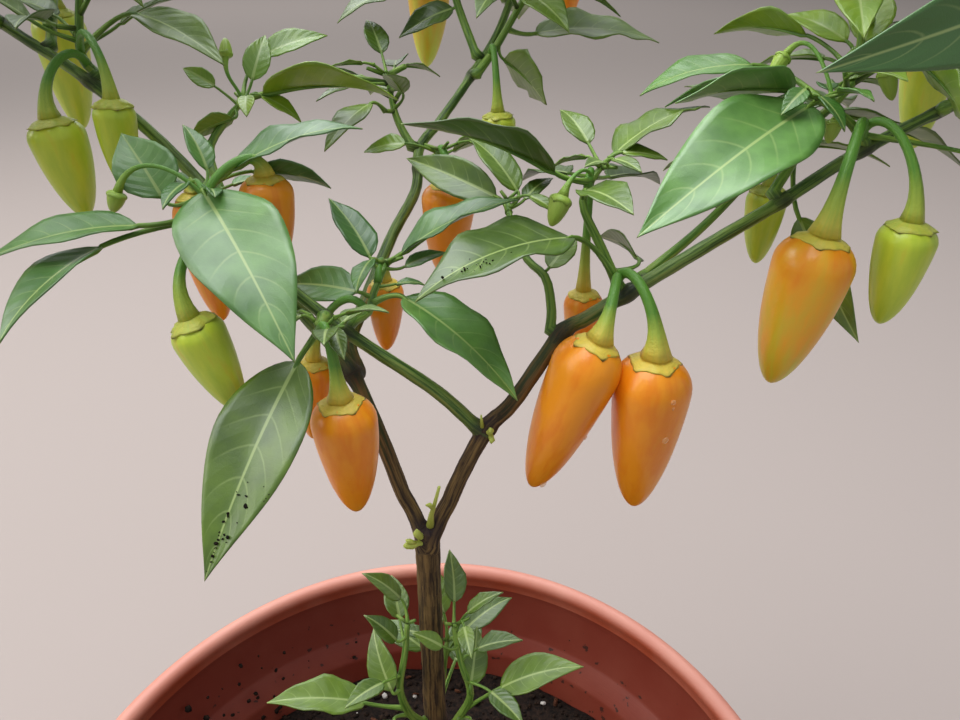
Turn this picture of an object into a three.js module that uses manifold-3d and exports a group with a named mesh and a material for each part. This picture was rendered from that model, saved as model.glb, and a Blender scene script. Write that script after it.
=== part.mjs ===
// Chilli pepper plant in a terracotta-coloured plastic pot.
// Sizes in millimetres: X runs right, Y back and Z up from the middle of the pot's flat underside.

import * as THREE from "three";
import { mergeVertices } from "three/addons/utils/BufferGeometryUtils.js";
import Module from "manifold-3d";

const wasm = await Module();
wasm.setup();

// Pot and soil
const RIM_RADIUS = 150; // outer edge of the rolled rim, a 30 cm pot
const POT_HEIGHT = 260;
const WALL = 3;
const FOOT_RADIUS = 98;
const SHOULDER_RADIUS = 131; // body just below the collar, outside
const SHOULDER_HEIGHT = 213;
const COLLAR_FOOT = 221; // the collar steps out over this height
const BEAD_RADIUS = 4.5; // round edge of the rim
const DRAIN_RADIUS = 5;
const DRAIN_CIRCLE = 62; // drain holes lie this far from the middle
const DRAINS = 6;
const SOIL_LEVEL = 203; // soil surface at the trunk, 57 below the rim
const ROUND_SIDES = 36;

// Plant
const TOUCH_GAP = 0.3; // left between two pieces that touch
const TRUNK_X = 8; // the trunk stands this far right of the pot's middle
const FORK_HEIGHT = 409; // top of the trunk, where the first two boughs part
const LEAF_WIDTH = 0.5; // blade width for each unit of its length
const LEAF_ARCH = 0.07; // rise of the blade's middle above its chord
const LEAF_FOLD = 0.13; // lift of the blade's edges above its midrib
const BLADE_RINGS = [0.22, 0.58]; // shares of its length where a placed leaf's blade is cut to shape
const GROWN_RINGS = [0.38]; // the same on a leaf grown by the seeded rule
const LEAF_THICK = 0.8; // keel below the blade's midrib
const STALK_RADIUS = 0.9;
const LONG_STALK = 12; // a longer stalk takes a ring at its bend
const TWIG_RADIUS = 1.5;
const TWIG_STEP = 11; // length of one facet along a twig
const LEAF_ROOM = 3.5; // free space kept round a blade's measuring points
const FRUIT_SIDES = 5;
const GOLDEN_TURN = 137.5; // degrees between one shoot and the next round a stem

const FINEST = 0.06; // edges closer than this to their neighbours are merged after a join

const degrees = Math.PI / 180;
const at = (place) => new THREE.Vector3(...place);

// Solids

// One closed solid from any closed geometry: merged corners, no flat slivers.
function solidOf(geometry) {
  geometry.deleteAttribute("normal");
  geometry.deleteAttribute("uv");
  const merged = mergeVertices(geometry, 1e-4);
  const corners = Array.from(merged.index.array);
  const kept = [];
  for (let i = 0; i < corners.length; i += 3) {
    const [a, b, c] = corners.slice(i, i + 3);
    if (a !== b && b !== c && c !== a) kept.push(a, b, c);
  }
  return new wasm.Manifold(new wasm.Mesh({
    numProp: 3,
    vertProperties: new Float32Array(merged.attributes.position.array),
    triVerts: new Uint32Array(kept),
  }));
}

// Join solids, then keep the main body: sealed hollows fill up and loose scraps drop away.
function fuse(solids) {
  const joined = solids.reduce((whole, piece) => whole.add(piece)).simplify(FINEST);
  const bodies = joined.decompose().sort((a, b) => b.volume() - a.volume());
  return bodies[0];
}

function meshOf(name, solid, colour, roughness) {
  const { vertProperties, triVerts } = solid.getMesh();
  const geometry = new THREE.BufferGeometry();
  geometry.setAttribute("position", new THREE.BufferAttribute(vertProperties, 3));
  geometry.setIndex(new THREE.BufferAttribute(triVerts, 1));
  geometry.computeVertexNormals();
  const material = new THREE.MeshStandardMaterial({ color: colour, roughness, metalness: 0 });
  const mesh = new THREE.Mesh(geometry, material);
  mesh.name = name;
  return mesh;
}

// Skin over a row of rings that run counter-clockwise round the way ahead.
// Each end is flat, or closes on a point where one is given.
function loft(rings, startPoint, endPoint) {
  const sides = rings[0].length;
  const positions = rings.flat().flatMap((corner) => corner.toArray());
  const faces = [];
  for (let ring = 0; ring + 1 < rings.length; ring++) {
    for (let k = 0; k < sides; k++) {
      const here = ring * sides + k;
      const beside = ring * sides + ((k + 1) % sides);
      faces.push(here, beside, beside + sides, here, beside + sides, here + sides);
    }
  }
  const closeEnd = (first, point, turned) => {
    const apex = point ? positions.push(...point.toArray()) / 3 - 1 : first;
    for (let k = point ? 0 : 1; k < (point ? sides : sides - 1); k++) {
      const here = first + k;
      const beside = first + ((k + 1) % sides);
      faces.push(apex, ...(turned ? [beside, here] : [here, beside]));
    }
  };
  closeEnd(0, startPoint, true);
  closeEnd((rings.length - 1) * sides, endPoint, false);
  const geometry = new THREE.BufferGeometry();
  geometry.setAttribute("position", new THREE.Float32BufferAttribute(positions, 3));
  geometry.setIndex(faces);
  return solidOf(geometry);
}

// Rings of the given radii round a line of points, without twist.
function ringsAlong(points, radii, sides) {
  const last = points.length - 1;
  const across = new THREE.Vector3(0.31, 0.52, 0.79);
  return points.map((point, i) => {
    const ahead = points[Math.min(i + 1, last)].clone().sub(points[Math.max(i - 1, 0)]).normalize();
    across.addScaledVector(ahead, -across.dot(ahead)).normalize();
    const up = ahead.clone().cross(across);
    return Array.from({ length: sides }, (_, k) => {
      const turn = (2 * Math.PI * k) / sides;
      return point.clone()
        .addScaledVector(across, radii[i] * Math.cos(turn))
        .addScaledVector(up, radii[i] * Math.sin(turn));
    });
  });
}

function tube(points, radii, sides) {
  return loft(ringsAlong(points, radii, sides));
}

function curveThrough(places) {
  return new THREE.CatmullRomCurve3(places.map((place) => at(place)), false, "catmullrom", 0.5);
}

// Revolved solid from a profile of [radius, height] that starts and ends on the axis.
function turned(profile) {
  const points = profile.map(([radius, height]) => new THREE.Vector2(radius, height));
  return solidOf(new THREE.LatheGeometry(points, ROUND_SIDES).rotateX(Math.PI / 2));
}

// Pot: thin moulded wall, tapered body, stepped collar, round bead at the rim, drain holes.

function wallRadius(height) {
  const rise = height / SHOULDER_HEIGHT;
  return FOOT_RADIUS + (SHOULDER_RADIUS - FOOT_RADIUS) * rise;
}

function pot() {
  const beadHeight = POT_HEIGHT - BEAD_RADIUS;
  const beadMiddle = RIM_RADIUS - BEAD_RADIUS;
  const collarFoot = beadMiddle - 6;
  const bead = [];
  for (let turn = -60; turn <= 180; turn += 48) {
    bead.push([
      beadMiddle + BEAD_RADIUS * Math.cos(turn * degrees),
      beadHeight + BEAD_RADIUS * Math.sin(turn * degrees),
    ]);
  }
  const body = turned([
    [0, 0],
    [FOOT_RADIUS - WALL, 0],
    [FOOT_RADIUS, WALL],
    [SHOULDER_RADIUS, SHOULDER_HEIGHT],
    [collarFoot, COLLAR_FOOT],
    [beadMiddle - 1, beadHeight - BEAD_RADIUS],
    ...bead,
    [beadMiddle - 1 - WALL, beadHeight - BEAD_RADIUS],
    [collarFoot - WALL, COLLAR_FOOT + 2],
    [SHOULDER_RADIUS - WALL, SHOULDER_HEIGHT],
    [wallRadius(WALL) - WALL, WALL],
    [0, WALL],
  ]);
  let drained = body;
  for (let i = 0; i < DRAINS; i++) {
    const turn = (2 * Math.PI * i) / DRAINS;
    const drill = new THREE.CylinderGeometry(DRAIN_RADIUS, DRAIN_RADIUS, 3 * WALL, 12)
      .rotateX(Math.PI / 2)
      .translate(DRAIN_CIRCLE * Math.cos(turn), DRAIN_CIRCLE * Math.sin(turn), WALL / 2);
    drained = drained.subtract(solidOf(drill));
  }
  return drained;
}

// Soil: fills the pot to a slightly mounded surface, level where the trunk stands.

function soil() {
  const inside = (height) => wallRadius(height) - WALL - TOUCH_GAP;
  const level = SOIL_LEVEL - TOUCH_GAP;
  const low = WALL + TOUCH_GAP;
  return turned([
    [0, low],
    [inside(low), low],
    [inside(level - 5), level - 5],
    [0.88 * inside(level), level + 1],
    [0.55 * inside(level), level + 2.5],
    [0.24 * inside(level), level],
    [0, level],
  ]);
}

// Limbs: each one tapering tube through a few places, swollen where it forks.

const limbs = {
  trunk: {
    places: [[TRUNK_X, 0, SOIL_LEVEL], [TRUNK_X + 1, -1, 270], [TRUNK_X, 0, 342], [TRUNK_X, 0, FORK_HEIGHT]],
    radii: [4.1, 3.5],
    flare: 3.2,
    knuckle: 1.9,
    sides: 10,
  },
  right_bough: {
    foot: "fork",
    lean: 1,
    places: [[15, 4, 426], [24, 8, 444], [32, 11, 451], [45, 19, 467.6], [51.8, 21, 471.4], [63, 25, 477],
      [83, 30, 488], [105, 37, 499], [126, 43, 511], [153, 49, 523], [178, 56, 532], [205, 64, 543]],
    radii: [2.5, 1.5],
  },
  left_bough: {
    foot: "fork",
    lean: -1,
    places: [[2, 5, 421], [-13, 21, 454], [-29, 33, 469], [-60, 52, 503], [-87, 61, 526],
      [-113, 70, 541], [-160, 92, 569]],
    radii: [2.4, 1.4],
  },
  middle_bough: {
    foot: "left_bough",
    places: [[-13, 21, 454], [-15, 32, 458], [-12, 46, 465], [-5, 65, 479], [2, 79, 490],
      [3, 89, 501], [10, 95, 509], [20, 108, 521], [32, 126, 539], [47, 170, 581]],
    radii: [2.2, 1.3],
  },
  front_branch: {
    foot: "right_bough",
    places: [[24, 8, 444], [11, 9, 456], [-6, 11, 468], [-17, 13, 476], [-35, 17, 491], [-42, 19, 498]],
    radii: [2.0, 1.3],
  },
};

// Nearest place on a limb's middle line, with the limb's radius and its way ahead there.
function nearestOn(limb, place) {
  let best = null;
  for (let i = 0; i <= 200; i++) {
    const t = i / 200;
    const point = limb.curve.getPoint(t);
    const distance = point.distanceTo(place);
    if (!best || distance < best.distance) best = { t, point, distance };
  }
  best.radius = limb.radiusAt(best.t);
  best.ahead = limb.curve.getTangent(best.t);
  return best;
}

// Start of a side shoot: it leaves the limb's bark, or carries on from its tip, a hair clear.
function footOn(limb, places, radius) {
  const near = nearestOn(limb, at(places[0]));
  const away = at(places[1]).sub(near.point).normalize();
  const along = away.dot(near.ahead);
  if (near.t > 0.995) {
    const dip = radius * Math.sqrt(Math.max(0, 1 - along * along));
    return near.point.clone().addScaledVector(near.ahead, TOUCH_GAP + dip);
  }
  const out = away.clone().addScaledVector(near.ahead, -along).normalize();
  return near.point.clone().addScaledVector(out, near.radius + TOUCH_GAP + radius * Math.abs(along));
}

function prepareLimb(limb) {
  const [thick, thin] = limb.radii;
  const places = limb.places.map((place) => [...place]);
  if (limb.foot === "fork") {
    const foot = new THREE.Vector3(TRUNK_X + limb.lean * (thick + 0.6), 0, FORK_HEIGHT + TOUCH_GAP);
    const away = at(places[0]).sub(foot).normalize();
    foot.z += thick * Math.hypot(away.x, away.y);
    places.unshift(foot.toArray());
  } else if (limb.foot) {
    places[0] = footOn(limbs[limb.foot], places, thick).toArray();
  }
  limb.curve = curveThrough(places);
  limb.length = limb.curve.getLength();
  limb.radiusAt = (t) => {
    const flare = (limb.flare ?? 0) * Math.exp((-t * limb.length) / 7);
    const knuckle = (limb.knuckle ?? 0) * Math.exp(((t - 1) * limb.length) / 5);
    return thick + (thin - thick) * t + flare + knuckle;
  };
}

function limbSolid(limb) {
  const steps = 2 * (limb.curve.points.length - 1);
  const ends = limb.knuckle ? [0.03, 0.97] : [];
  const stops = [...Array(steps + 1).keys()].map((i) => i / steps).concat(ends).sort((a, b) => a - b);
  const points = stops.map((t) => limb.curve.getPoint(t));
  return tube(points, stops.map((t) => limb.radiusAt(t)), limb.sides ?? 7);
}

Object.values(limbs).forEach(prepareLimb);

// Leaves: a pointed oval blade, keeled along its midrib and arched from stalk to tip.

function bladeFrame(base, tip, roll, arch) {
  const ahead = tip.clone().sub(base);
  const length = ahead.length();
  ahead.normalize();
  const out = new THREE.Vector3(ahead.x, ahead.y, 0).normalize();
  const level = Math.hypot(ahead.x, ahead.y);
  const rising = new THREE.Vector3(-ahead.z * out.x, -ahead.z * out.y, level);
  const right = ahead.clone().cross(rising);
  const c = Math.cos(roll * degrees);
  const s = Math.sin(roll * degrees);
  return {
    length,
    arch,
    ahead,
    side: right.clone().multiplyScalar(c).addScaledVector(rising, s),
    face: rising.clone().multiplyScalar(c).addScaledVector(right, -s),
  };
}

// Half the blade's width at a share of its length: round below, drawn out to a point.
function halfWidth(share, width) {
  return width / 2 * 3.49 * share ** 0.7 * (1 - share) ** 1.2;
}

function bladePoint(base, frame, share, across, lift) {
  const rise = frame.arch * frame.length * 4 * share * (1 - share) + lift;
  return base.clone()
    .addScaledVector(frame.ahead, frame.length * share)
    .addScaledVector(frame.side, across)
    .addScaledVector(frame.face, rise);
}

// The stalk leaves the twig, bends, and arrives in line with the blade's midrib.
function stalkCurve(node, base, frame) {
  const bend = 0.4 * node.distanceTo(base);
  const start = frame.ahead.clone().addScaledVector(frame.face, 4 * frame.arch).normalize();
  return new THREE.QuadraticBezierCurve3(node, base.clone().addScaledVector(start, -bend), base);
}

// One skin from the twig to the tip: three-sided rings round the stalk, then along the blade.
function leafSolid(node, base, frame, width, rings) {
  const stalk = stalkCurve(node, base, frame);
  const side = frame.side.clone();
  const shares = node.distanceTo(base) > LONG_STALK ? [1, 0.5, 0] : [1, 0];
  const stalkRings = shares.map((share) => {
    const ahead = stalk.getTangent(share);
    side.addScaledVector(ahead, -side.dot(ahead)).normalize();
    const down = ahead.cross(side);
    return [-30, 90, 210].map((turn) => stalk.getPoint(share)
      .addScaledVector(side, STALK_RADIUS * Math.cos(turn * degrees))
      .addScaledVector(down, STALK_RADIUS * Math.sin(turn * degrees)));
  }).reverse();
  const bladeRings = rings.map((share) => {
    const half = halfWidth(share, width);
    return [
      bladePoint(base, frame, share, half, LEAF_FOLD * half),
      bladePoint(base, frame, share, 0, -LEAF_THICK),
      bladePoint(base, frame, share, -half, LEAF_FOLD * half),
    ];
  });
  return loft([...stalkRings, ...bladeRings], null, bladePoint(base, frame, 1, 0, 0));
}

// Fruit: a tapering lantern shape that hangs from an arched stalk.

function fruitRadius(share, width) {
  return width / 2 * (1 - share ** 2.6) ** 0.8 * (1 - 0.38 * Math.exp(-16 * share));
}

function fruitStalk(node, calyx, tip) {
  const reach = 0.45 * node.distanceTo(calyx);
  const hang = calyx.clone().sub(tip).normalize();
  const out = calyx.clone().sub(node).setZ(0).normalize();
  return new THREE.CubicBezierCurve3(
    node,
    node.clone().addScaledVector(out, 0.4 * reach).add(new THREE.Vector3(0, 0, reach)),
    calyx.clone().addScaledVector(hang, 1.2 * reach),
    calyx,
  );
}

function fruitSolid(node, calyx, tip, width) {
  const line = new THREE.LineCurve3(calyx, tip);
  const shares = [0.06, 0.42, 0.8];
  const points = [...fruitStalk(node, calyx, tip).getPoints(3), ...shares.map((s) => line.getPoint(s))];
  const radii = [1.1, 1, 1.2, 0.16 * width, ...shares.map((s) => fruitRadius(s, width))];
  return loft(ringsAlong(points, radii, FRUIT_SIDES), null, tip);
}

// Room: measuring points with a radius, by which a new twig or leaf keeps clear of the rest.

const taken = [];

function pointsAlong(points, radius, owner) {
  return points.map((point) => ({ point, radius, owner, outer: false }));
}

function leafRoom(node, base, frame, width, owner) {
  const room = pointsAlong([node.clone().lerp(base, 0.5), base], STALK_RADIUS, owner);
  for (const share of [0.15, 0.32, 0.5, 0.68, 0.85, 1]) {
    for (const across of share < 1 ? [-0.85, 0, 0.85] : [0]) {
      const point = bladePoint(base, frame, share, across * halfWidth(share, width), 0);
      room.push({ point, radius: LEAF_ROOM, owner, outer: share > 0.3 });
    }
  }
  return room;
}

function fruitRoom(node, calyx, tip, width, owner) {
  const room = pointsAlong(fruitStalk(node, calyx, tip).getPoints(4), 1.2, owner);
  for (const share of [0.15, 0.4, 0.65, 0.95]) {
    room.push({ point: calyx.clone().lerp(tip, share), radius: fruitRadius(share, width), owner, outer: true });
  }
  return room;
}

function isFree(room, heart, reach) {
  return room.every((mine) => mine.point.distanceTo(heart) < reach && taken.every((other) => {
    if (other.owner === mine.owner && !(other.outer && mine.outer)) return true;
    return mine.point.distanceTo(other.point) > mine.radius + other.radius + 1;
  }));
}

// A whole-number rule that gives the same seeded throws wherever it is repeated.
function diceFrom(seed) {
  let state = seed;
  return (low, high) => {
    state = (state * 16807) % 2147483647;
    return low + ((high - low) * state) / 2147483647;
  };
}

function towards(turn, rise, length) {
  return new THREE.Vector3(
    Math.cos(turn * degrees) * Math.cos(rise * degrees),
    Math.sin(turn * degrees) * Math.cos(rise * degrees),
    Math.sin(rise * degrees),
  ).multiplyScalar(length);
}

// Sprays: one stem each, with the leaves and fruit that show placed on it by hand.
// stem: places along it. leaves: [share along the stem, blade's base, blade's tip, roll, width, arch].
// fruit: [share along the stem, crown of the fruit, its tip, its width].
// more: shoots grown by the seeded rule beyond those, from a share of the stem upward.

const sprays = {
  low_shoot_left: {
    limb: "trunk",
    stem: [[TRUNK_X, 0, 334], [0, -6, 344], [-2, -7, 357], [0, -5, 370], [1, -2, 380]],
    leaves: [
      [1, [-1, 2, 386], [-12, 3, 396], 5],
      [0.9, [-2, -6, 377], [-11, -5, 387], 15],
      [0.5, [-4, -10, 359], [-11, 4, 371], 40],
      [0.3, [-13, -8, 351], [-42, -13, 358], -5, 15],
      [0.2, [-4, -11, 347], [-2, -32, 352], 10, 13],
      [0.6, [-6, -12, 366], [-16, -22, 368], 0],
      [0.8, [-2, 3, 376], [-6, 18, 380], 0],
    ],
  },
  low_shoot_right: {
    limb: "trunk",
    stem: [[TRUNK_X, 0, 330], [16, -6, 341], [20, -7, 354], [17, -5, 367], [15, -1, 378]],
    leaves: [
      [1, [15, 5, 381], [13, 19, 390], -25],
      [0.95, [19, 0, 382], [30, 3, 388], 10],
      [0.75, [22, -4, 371], [36, -5, 376], 10, 9],
      [0.5, [20, -8, 359], [22, 6, 370], -20],
      [0.35, [29, -8, 358], [54, -9, 370], 0, 14],
      [0.2, [20, -10, 346], [22, -30, 352], 20, 13],
      [0.85, [12, -9, 378], [3, -9, 384], 20],
      [0.6, [26, -12, 362], [36, -22, 360], 0],
    ],
  },
  low_shoot_back: {
    limb: "trunk",
    stem: [[TRUNK_X, 0, 326], [10, 9, 338], [12, 12, 356]],
    leaves: [
      [1, [11, 16, 364], [4, 30, 374], 0],
      [0.8, [18, 15, 358], [34, 26, 362], 0],
      [0.6, [4, 15, 348], [-14, 26, 350], 0],
      [0.3, [14, 18, 338], [22, 42, 336], 0],
    ],
  },
  spray_low_right: {
    limb: "right_bough",
    stem: [[44, 19, 467], [42.5, 24, 473], [41, 29, 480], [36, 36, 483], [32, 46, 490], [31, 51, 495]],
    leaves: [
      [0.44, [42, 31, 482], [51, 43, 486], -10],
      [0.92, [34, 53, 497], [20, 66, 510], 5],
      [0.88, [28, 54, 495], [0, 72, 502], 50, 12],
      [0.92, [36, 52, 495], [45, 62, 499], 0],
    ],
  },
  spray_fruit_pair: {
    limb: "right_bough",
    stem: [[61, 25, 478], [56, 31, 488], [51, 36, 498], [53, 40, 503], [56, 42, 507]],
    leaves: [
      [0.03, [47, 25, 493], [7, 3, 486], 3, 25, 0.08],
      [0.78, [43, 36, 507], [3, 31, 520], -25, 20],
      [0.55, [51, 34, 503], [60, 12, 503], -10, 12.5],
      [1, [53, 47, 512], [46, 61, 519], 5],
      [1, [60, 45, 510], [89, 62, 520], 10, 18],
      [0.85, [59, 47, 503], [78, 64, 496], 0],
      [0.85, [48, 47, 504], [36, 66, 497], 0],
      [0.1, [68, 38, 482], [60, 60, 481], -50],
    ],
    fruit: [
      [0.02, [54, 10, 471], [38, 10, 423], 19],
      [0.04, [69, 10, 466], [68, 10, 416], 21],
      [0.81, [45, 33, 502], [42, 31, 494], 6],
      [0.7, [54, 44, 470], [55, 44, 441], 12],
    ],
  },
  spray_behind_right: {
    limb: "right_bough",
    stem: [[68, 27, 480], [86, 42, 490], [106, 60, 502], [120, 72, 511]],
    leaves: [
      [1, [122, 63, 486], [135, 34, 457], -55, 13],
      [1, [128, 84, 515], [150, 106, 512], 0],
      [0.9, [108, 78, 514], [92, 104, 518], 0],
      [0.45, [88, 48, 496], [92, 54, 501], 0],
    ],
    fruit: [[0.85, [110, 60, 497], [110, 60, 472], 12]],
    more: { shoots: 2, from: 0.9, seed: 41, reach: 60, turn: 60 },
  },
  spray_upper_right: {
    limb: "right_bough",
    stem: [[105, 37, 499], [111, 46, 511], [114, 50, 516], [123, 55, 523], [128, 60, 530],
      [127, 66, 556], [123, 70, 582]],
    leaves: [
      [0.5, [125, 58, 527], [137, 67, 537], -15],
      [0.72, [131, 66, 536], [142, 84, 548], 0],
      [0.62, [127, 67, 536], [114, 83, 542], 25],
      [0.64, [118, 74, 537], [96, 91, 537], -35],
      [0.55, [124, 72, 531], [108, 88, 526], 0],
      [0.66, [139, 53, 534], [143, 24, 518], 60, 14],
    ],
    fruit: [[0.62, [132, 52, 531], [135, 50, 523], 5]],
    more: { shoots: 4, from: 0.78, seed: 77, reach: 58, turn: 20 },
  },
  spray_over_fruit: {
    limb: "right_bough",
    stem: [[127, 43, 511], [121, 43, 519], [113, 45, 524]],
    leaves: [
      [1, [110, 43, 523], [58, -2, 502], 20, 26, 0.04],
      [1, [107, 48, 526], [73, 37, 524], -35, 18],
      [0.95, [106, 56, 525], [76, 62, 520], -25, 15],
      [1, [101, 66, 530], [69, 65, 523], 10],
      [0.14, [155, 29, 512], [166, 4, 503], 0],
    ],
    fruit: [
      [0.08, [113, 25, 494], [107, 25, 449], 21],
      [0.15, [136, 27, 497], [135, 27, 467], 15],
      [0.75, [106, 56, 534], [102, 54, 529], 4.5],
      [0.6, [116, 40, 520], [115, 39, 514], 4.5],
    ],
  },
  spray_far_right: {
    limb: "right_bough",
    stem: [[147, 48, 520], [157, 40, 531], [165, 26, 550], [171, 12, 574]],
    leaves: [[0.72, [138, -4, 556], [76, -35, 542], 80, 17]],
    more: { shoots: 4, from: 0.6, seed: 5, reach: 62, turn: 300 },
  },
  spray_right_top: {
    limb: "right_bough",
    stem: [[178, 56, 532], [182, 64, 558], [184, 74, 590], [180, 80, 615]],
    more: { shoots: 4, from: 0.3, seed: 118, reach: 60, turn: 80 },
  },
  spray_right_end: {
    limb: "right_bough",
    stem: [[205, 64, 543], [220, 70, 551], [238, 74, 572]],
    fruit: [[0.5, [222, 54, 540], [225, 50, 496], 19]],
    more: { shoots: 5, from: 0.2, seed: 9, reach: 66, turn: 0 },
  },
  spray_right_back: {
    limb: "right_bough",
    stem: [[153, 49, 523], [160, 76, 540], [164, 104, 556], [162, 128, 580]],
    fruit: [[0.55, [172, 104, 540], [176, 106, 497], 18]],
    more: { shoots: 4, from: 0.4, seed: 61, reach: 62, turn: 100 },
  },
  spray_right_front: {
    limb: "right_bough",
    stem: [[163, 51, 526], [157, 32, 558], [136, 14, 588], [116, 2, 610]],
    more: { shoots: 4, from: 0.62, seed: 51, reach: 50, turn: 200 },
  },
  spray_front_fruit: {
    limb: "front_branch",
    stem: [[-17, 13, 476], [-17, 6, 477], [-16, 2, 477]],
    leaves: [[0.8, [-22, 0, 470], [-38, -41, 437], 15, 21]],
    fruit: [[1, [-12, -3, 461], [-10.5, -3, 425], 17]],
  },
  spray_front_knot: {
    limb: "front_branch",
    stem: [[-12, 12, 473], [-7, 20, 474], [-6, 25, 477], [-3, 32, 483]],
    leaves: [
      [0.9, [-7, 31, 485], [-20, 46, 497], -5, 11],
      [0.6, [-10, 24, 478], [-33, 33, 476], 30],
      [1, [1, 34, 485], [34, 39, 499], 0, 17],
      [0.5, [2, 25, 476], [33, 4, 456], 0, 20],
      [0.95, [2, 32, 482], [14, 35, 485], -10],
      [0.75, [0, 27, 479], [8, 27, 479], 0],
    ],
    fruit: [
      [0.8, [-5, 42, 474], [-6, 43, 450], 11],
      [0.3, [-24, 23, 458], [-27, 24, 430], 12],
    ],
  },
  spray_front_end: {
    limb: "front_branch",
    stem: [[-42, 19, 498], [-44, 20, 502], [-47, 23, 506]],
    leaves: [
      [0.6, [-45, 19, 507], [-18, -17, 479], -10, 25],
      [0.9, [-57, 23, 504], [-68, 32, 518], 20, 16],
      [1, [-46, 27, 510], [-53, 35, 520], -15],
      [0.9, [-40, 28, 510], [-8, 39, 519], -5, 16],
      [1, [-37, 34, 508], [-18, 42, 502], 40],
      [0.5, [-59, 11, 501], [-88, -4, 498], 5, 16],
      [0.3, [-66, 5, 498], [-79, -22, 487], -10, 16],
      [1, [-52, 28, 506], [-60, 33, 508], 0],
      [0.9, [-42, 32, 505], [-34, 40, 504], 0],
    ],
    fruit: [
      [0.8, [-33, 31, 508], [-33, 31, 481], 14],
      [0.9, [-50, 27, 505], [-49, 27, 468], 14],
      [0.1, [-45, -4, 484], [-37, -4, 458], 13],
      [0.6, [-66, 19, 507], [-68, 18, 502], 4.5],
    ],
  },
  spray_left_behind: {
    limb: "left_bough",
    stem: [[-55, 48, 497], [-57, 62, 507], [-52, 69, 515], [-48, 72, 519]],
    leaves: [
      [0.9, [-56, 73, 523], [-66, 76, 528], 45],
      [0.8, [-50, 67, 515], [-63, 62, 510], -60],
      [1, [-46, 77, 524], [-43, 88, 536], -25],
      [1, [-44, 86, 530], [-25, 94, 535], -30],
      [1, [-42, 72, 521], [-1, 70, 521], 25, 22],
    ],
    fruit: [[1, [-52, 74, 531], [-52, 77, 536], 4]],
  },
  spray_left_upper: {
    limb: "left_bough",
    stem: [[-87, 61, 526], [-90, 66, 532], [-91, 71, 541], [-88, 80, 566], [-84, 84, 592]],
    leaves: [
      [0.4, [-98, 73, 542], [-115, 80, 546], 0],
      [0.5, [-92, 77, 547], [-90, 90, 556], 0],
      [0.35, [-81, 74, 540], [-66, 84, 546], 0],
      [0.3, [-74, 70, 543], [-47, 57, 531], -10],
      [0.4, [-101, 64, 542], [-122, 64, 552], 0],
    ],
    fruit: [
      [0.15, [-94, 48, 519], [-91, 48, 491], 15],
      [0.3, [-76, 48, 524], [-77, 47, 499], 11],
    ],
    more: { shoots: 4, from: 0.7, seed: 29, reach: 58, turn: 150 },
  },
  spray_left_front: {
    limb: "left_bough",
    stem: [[-113, 70, 541], [-122, 54, 548], [-136, 34, 560], [-142, 14, 582]],
    fruit: [[0.4, [-130, 36, 535], [-134, 32, 494], 18]],
    more: { shoots: 4, from: 0.3, seed: 15, reach: 66, turn: 240 },
  },
  spray_left_top: {
    limb: "left_bough",
    stem: [[-124, 74, 547], [-112, 50, 572], [-90, 26, 592], [-70, 10, 612]],
    more: { shoots: 4, from: 0.6, seed: 84, reach: 50, turn: 320 },
  },
  spray_left_end: {
    limb: "left_bough",
    stem: [[-160, 92, 569], [-174, 98, 578], [-188, 100, 600]],
    fruit: [[0.3, [-178, 84, 562], [-182, 82, 520], 18]],
    more: { shoots: 5, from: 0.1, seed: 7, reach: 66, turn: 170 },
  },
  spray_left_back: {
    limb: "left_bough",
    stem: [[-100, 66, 534], [-106, 92, 550], [-112, 118, 566], [-110, 136, 592]],
    fruit: [[0.5, [-118, 112, 542], [-120, 114, 502], 17]],
    more: { shoots: 4, from: 0.35, seed: 93, reach: 66, turn: 110 },
  },
  spray_middle_low: {
    limb: "middle_bough",
    stem: [[3, 84, 496], [9, 79, 501], [11, 74, 504]],
    leaves: [
      [0.5, [14, 82, 502], [26, 90, 504], 50, 8],
      [0.7, [0, 74, 506], [-14, 79, 502], 30, 8],
    ],
    fruit: [[0.8, [13, 70, 495], [11, 70, 464], 17]],
  },
  spray_middle_left: {
    limb: "middle_bough",
    stem: [[3, 89, 501], [-5, 96, 510], [-8, 102, 522]],
    leaves: [
      [1, [-10, 108, 528], [-16, 120, 538], 0],
      [0.9, [-14, 98, 520], [-30, 90, 516], 0],
      [0.8, [-8, 110, 516], [-18, 130, 512], 0],
      [0.6, [-2, 92, 518], [-6, 78, 526], 0],
    ],
    more: { shoots: 2, from: 0.8, seed: 3, reach: 46, turn: 180 },
  },
  spray_middle_right: {
    limb: "middle_bough",
    stem: [[20, 108, 521], [28, 112, 529], [36, 118, 541], [52, 122, 566], [62, 122, 594]],
    leaves: [
      [0.4, [42, 121, 533], [88, 131, 529], -15, 25],
      [0.3, [31, 110, 526], [45, 98, 513], 60, 19],
      [0.45, [36, 130, 541], [38, 154, 536], 0],
    ],
    fruit: [[0.2, [29, 99, 511], [30, 99, 489], 12]],
    more: { shoots: 4, from: 0.66, seed: 57, reach: 62, turn: 30 },
  },
  spray_middle_top: {
    limb: "middle_bough",
    stem: [[23, 113, 526], [14, 124, 546], [6, 134, 576], [4, 138, 612], [6, 138, 640]],
    leaves: [
      [0.25, [14, 122, 541], [-5, 117, 532], 35],
      [0.35, [4, 120, 548], [-26, 116, 538], 20],
    ],
    more: { shoots: 6, from: 0.5, seed: 24, reach: 74, turn: 0 },
  },
  spray_back_end: {
    limb: "middle_bough",
    stem: [[47, 170, 581], [54, 184, 594], [58, 192, 618]],
    fruit: [[0.3, [58, 196, 572], [62, 200, 532], 18]],
    more: { shoots: 4, from: 0.1, seed: 66, reach: 66, turn: 70 },
  },
  spray_back_left: {
    limb: "middle_bough",
    stem: [[33, 132, 545], [14, 154, 558], [-6, 176, 574], [-22, 186, 596]],
    fruit: [[0.5, [2, 176, 556], [0, 182, 514], 18]],
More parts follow.
